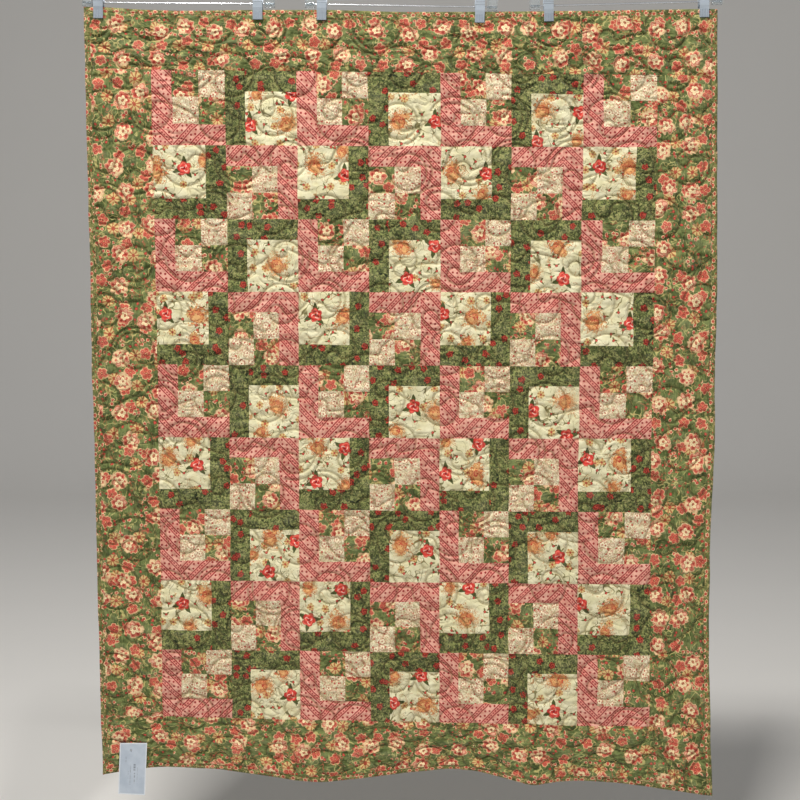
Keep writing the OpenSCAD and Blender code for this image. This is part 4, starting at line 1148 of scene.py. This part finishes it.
def card_paper(name):
    g = G(name)
    P = obj_coords(g)
    fib = g.noise(g.vec("MULTIPLY", P, (0.5, 1.0, 2.2)), 1.2, 4.0, 0.7)
    cloud = g.noise(P, 1 / 26.0, 2.0, 0.6)
    Q, _ = g.attr("face")
    u, v, front = g.sep(Q)
    c = g.mix(g.st(g.add(g.mul(fib, 0.4), g.mul(cloud, 0.6)), 0.36, 0.64), (178, 190, 204), (196, 206, 218))
    edge_ = g.mn(g.mn(u, g.sub(CARD_W, u)), g.mn(v, g.sub(CARD_H, v)))
    c = g.mix(g.mul(g.st(edge_, 2.6, 1.2), 0.7), c, (236, 240, 244))
    c = g.mix(g.mul(g.st(g.noise(P, 0.16, 4.0, 0.7), 0.62, 0.72), 0.2), c, (182, 188, 196))
    # faint columns of dashes, with no characters
    for at, w, v0, v1, dark in ((12.5, 0.7, 34.0, 24.0, 0.45), (17.5, 0.5, 48.0, 64.0, 0.3), (21.5, 0.7, 36.0, 72.0, 0.4), (29.0, 1.9, 36.0, 48.0, 0.6), (29.5, 1.1, 50.0, 70.0, 0.5), (34.5, 0.6, 42.0, 66.0, 0.35)):
        a, b = min(v0, v1), max(v0, v1)
        bar = g.mul(g.st(g.abs(g.sub(u, at)), w + 0.3, w - 0.2), g.mul(g.st(v, a - 0.4, a + 0.4), g.st(v, b + 0.4, b - 0.4)))
        dash = g.st(g.noise(g.comb(at, v), 0.55, 1.0, 0.6), 0.44, 0.54)
        c = g.mix(g.mul(g.mul(bar, front), g.mul(dash, dark)), c, (60, 66, 76))
    g.set(g.b.inputs["Base Color"], c)
    g.set(g.b.inputs["Roughness"], g.add(0.42, g.mul(fib, 0.16)))
    g.set(g.b.inputs["Normal"], g.bump(fib, 0.25, 0.0002))
    return g.mat


lo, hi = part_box("label_card")
CARD_W, CARD_H = (hi[0] - lo[0]) * 1000.0, (hi[2] - lo[2]) * 1000.0

M_TUBE_V = metal("brushed_tube_upright", (176, 178, 182), 0.34, (6, 6, 0.15))
M_TUBE_H = metal("brushed_tube_rail", (180, 182, 186), 0.32, (0.15, 6, 6))
M_INNER = metal("bright_tube_inner", (196, 198, 200), 0.24, (0.15, 5, 5))
M_BASE = metal("black_powder_coat", (30, 30, 32), 0.55, (1.6, 1.6, 1.6), 0.0, spots=0.35)
M_ZINC = metal("zinc_plate", (150, 152, 154), 0.38, (1.2, 1.2, 1.2), spots=0.4)
M_CLIP = metal("clip_steel", (188, 199, 210), 0.36, (5, 1, 0.5), 0.45, spots=0.3)
M_WIRE = metal("chrome_wire", (206, 209, 214), 0.18, (2, 2, 2), 0.8, spots=0.2)
M_SPRING = metal("spring_steel", (120, 120, 124), 0.32, (3, 3, 3))
M_BLACK = plastic("black_plastic", (22, 22, 24), 0.42)
M_RUBBER = plastic("black_rubber", (18, 18, 18), 0.8, 2.2, 0.6)
M_VINYL = plastic("pad_vinyl", (26, 26, 28), 0.6, 1.8, 0.5)
M_CLEAR = clear("clear_styrene")
M_CARD = card_paper("card_paper")


def dress(node, mat):
    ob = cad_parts[node]
    ob.data.materials.clear()
    ob.data.materials.append(mat)


for s in ("left", "right"):
    dress("base_plate_" + s, M_BASE)
    dress("base_spigot_" + s, M_ZINC)
    dress("feet_" + s, M_RUBBER)
    dress("upright_" + s, M_TUBE_V)
    dress("cap_" + s, M_BLACK)
    dress("crossbar_hook_" + s, M_ZINC)
dress("crossbar_outer", M_TUBE_H)
dress("crossbar_inner", M_INNER)
dress("lock_collar", M_BLACK)
dress("lock_knob", M_BLACK)
for i in (1, 2, 3):
    dress("hanger_body_%d" % i, M_CLEAR)
    dress("hanger_hook_%d" % i, M_WIRE)
    dress("hanger_rod_%d" % i, M_WIRE)
for k in range(1, 7):
    dress("clip_back_%d" % k, M_CLIP)
    dress("clip_front_%d" % k, M_CLIP)
    dress("clip_spring_%d" % k, M_SPRING)
    dress("clip_pad_%d" % k, M_VINYL)


def card_piece():
    """The card hangs just clear of the cloth's own surface, a little bowed."""
    near = (PX > 100) & (PX < 160) & (PY > 735)
    yc = float(FRONT[..., 1][near].min()) - 0.0009
    nu, nv = 13, 25
    a, b = np.meshgrid(np.linspace(0, 1, nu), np.linspace(0, 1, nv))
    tl, tr, br, bl = np.array([120.0, 743.0]), np.array([147.1, 743.0]), np.array([145.0, 795.2]), np.array([118.1, 793.9])
    px = (1 - b) * ((1 - a) * tl[0] + a * tr[0]) + b * ((1 - a) * bl[0] + a * br[0])
    py = (1 - b) * ((1 - a) * tl[1] + a * tr[1]) + b * ((1 - a) * bl[1] + a * br[1])
    y = yc - 0.0012 * b ** 2 + 0.0008 * (2 * a - 1) ** 2 * b
    x, z = on_depth(px, py, y)
    front = np.stack([x, y, z], -1).reshape(-1, 3)
    rear = front + np.array([0, 0.0004, 0])
    n = nu * nv
    k = np.arange(n).reshape(nv, nu)
    f = np.stack([k[:-1, :-1], k[1:, :-1], k[1:, 1:], k[:-1, 1:]], -1).reshape(-1, 4)
    faces = [tuple(q) for q in f] + [tuple(q[::-1] + n) for q in f]
    ring = list(k[0]) + list(k[1:, -1]) + list(k[-1, -2::-1]) + list(k[-2:0:-1, 0])
    for p, q in zip(ring, ring[1:] + ring[:1]):
        faces.append((p, q, q + n, p + n))
    me = bpy.data.meshes.new("card_sheet")
    me.from_pydata(np.vstack([front, rear]).tolist(), [], [tuple(int(v) for v in q) for q in faces])
    face = np.zeros((2 * n, 3))
    face[:, 0] = np.tile(a.ravel() * CARD_W, 2)
    face[:, 1] = np.tile(b.ravel() * CARD_H, 2)
    face[:n, 2] = 1.0
    at = me.attributes.new("face", "FLOAT_VECTOR", "POINT")
    at.data.foreach_set("vector", face.astype(np.float32).ravel())
    me.materials.append(M_CARD)
    ob = bpy.data.objects.new("card_sheet", me)
    scene.collection.objects.link(ob)
    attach(ob, "card")
    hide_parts("label_card")
    # its pin
    plo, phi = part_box("card_pin")
    cx, cz = (plo[0] + phi[0]) / 2, (plo[2] + phi[2]) / 2
    prof = [(0.0, yc + 0.012), (0.0005, yc + 0.0115), (0.0005, yc - 0.0002), (0.0016, yc - 0.0003), (0.0019, yc - 0.0007), (0.0012, yc - 0.0012), (0.0, yc - 0.0013)]
    verts, faces, m = [], [], 24
    for r_, y_ in prof:
        for j in range(m):
            t = 2 * math.pi * j / m
            verts.append((cx + r_ * math.cos(t), y_, cz + r_ * math.sin(t)))
    for i in range(len(prof) - 1):
        for j in range(m):
            j2 = (j + 1) % m
            faces.append((i * m + j, i * m + j2, (i + 1) * m + j2, (i + 1) * m + j))
    me = bpy.data.meshes.new("card_pin_wire")
    me.from_pydata(verts, [], faces)
    import bmesh
    bm = bmesh.new()
    bm.from_mesh(me)
    bmesh.ops.remove_doubles(bm, verts=bm.verts, dist=1e-6)
    bmesh.ops.recalc_face_normals(bm, faces=bm.faces)
    bm.to_mesh(me)
    bm.free()
    me.polygons.foreach_set("use_smooth", [True] * len(me.polygons))
    me.materials.append(M_WIRE)
    pin = bpy.data.objects.new("card_pin_wire", me)
    scene.collection.objects.link(pin)
    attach(pin, "hanging_set")
    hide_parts("card_pin")


card_piece()

# ------------------------------------------------------------------ stage
def stage_mat(name, rgb, rough):
    g = G(name)
    P = obj_coords(g, 1.0)
    n = g.noise(P, 1.2, 3.0, 0.6)
    g.set(g.b.inputs["Base Color"], g.mix(n, tuple(x - 4 for x in rgb), rgb))
    g.b.inputs["Roughness"].default_value = rough
    return g.mat


def cyclorama():
    w, r, far = 11.0, 1.6, 5.2
    prof = [(-9.0, 0.0), (far, 0.0)]
    prof += [(far + r * math.sin(a), r - r * math.cos(a)) for a in np.linspace(0.1, math.pi / 2, 14)]
    prof += [(far + r, 9.0)]
    verts, faces = [], []
    for y, z in prof:
        verts += [(-w, y, z), (w, y, z)]
    for i in range(len(prof) - 1):
        faces.append((2 * i, 2 * i + 1, 2 * i + 3, 2 * i + 2))
    me = bpy.data.meshes.new("studio_sweep")
    me.from_pydata(verts, [], faces)
    me.polygons.foreach_set("use_smooth", [True] * len(faces))
    me.materials.append(stage_mat("studio_paper", (234, 232, 228), 0.9))
    ob = bpy.data.objects.new("studio_sweep", me)
    scene.collection.objects.link(ob)


cyclorama()


def area_light(name, loc, target, size, power, rgb, size_y=None):
    d = bpy.data.lights.new(name, "AREA")
    d.shape = "RECTANGLE"
    d.size, d.size_y = size, size_y or size
    d.energy = power
    d.color = rgb
    o = bpy.data.objects.new(name, d)
    o.location = loc
    o.rotation_euler = (Vector(target) - Vector(loc)).to_track_quat("-Z", "Y").to_euler()
    scene.collection.objects.link(o)
    return o


area_light("key", (-0.7, -1.9, 4.8), (0, 0, 1.0), 0.9, 198, (1.0, 0.975, 0.94), 0.5)
area_light("fill", (1.0, -4.0, 1.8), (0, 0, 0.9), 3.0, 16, (1.0, 0.98, 0.95))
world = bpy.data.worlds.new("studio")
world.use_nodes = True
world.node_tree.nodes["Background"].inputs[0].default_value = (0.93, 0.94, 0.96, 1.0)
world.node_tree.nodes["Background"].inputs[1].default_value = 0.24
scene.world = world
scene.view_settings.view_transform = "Standard"
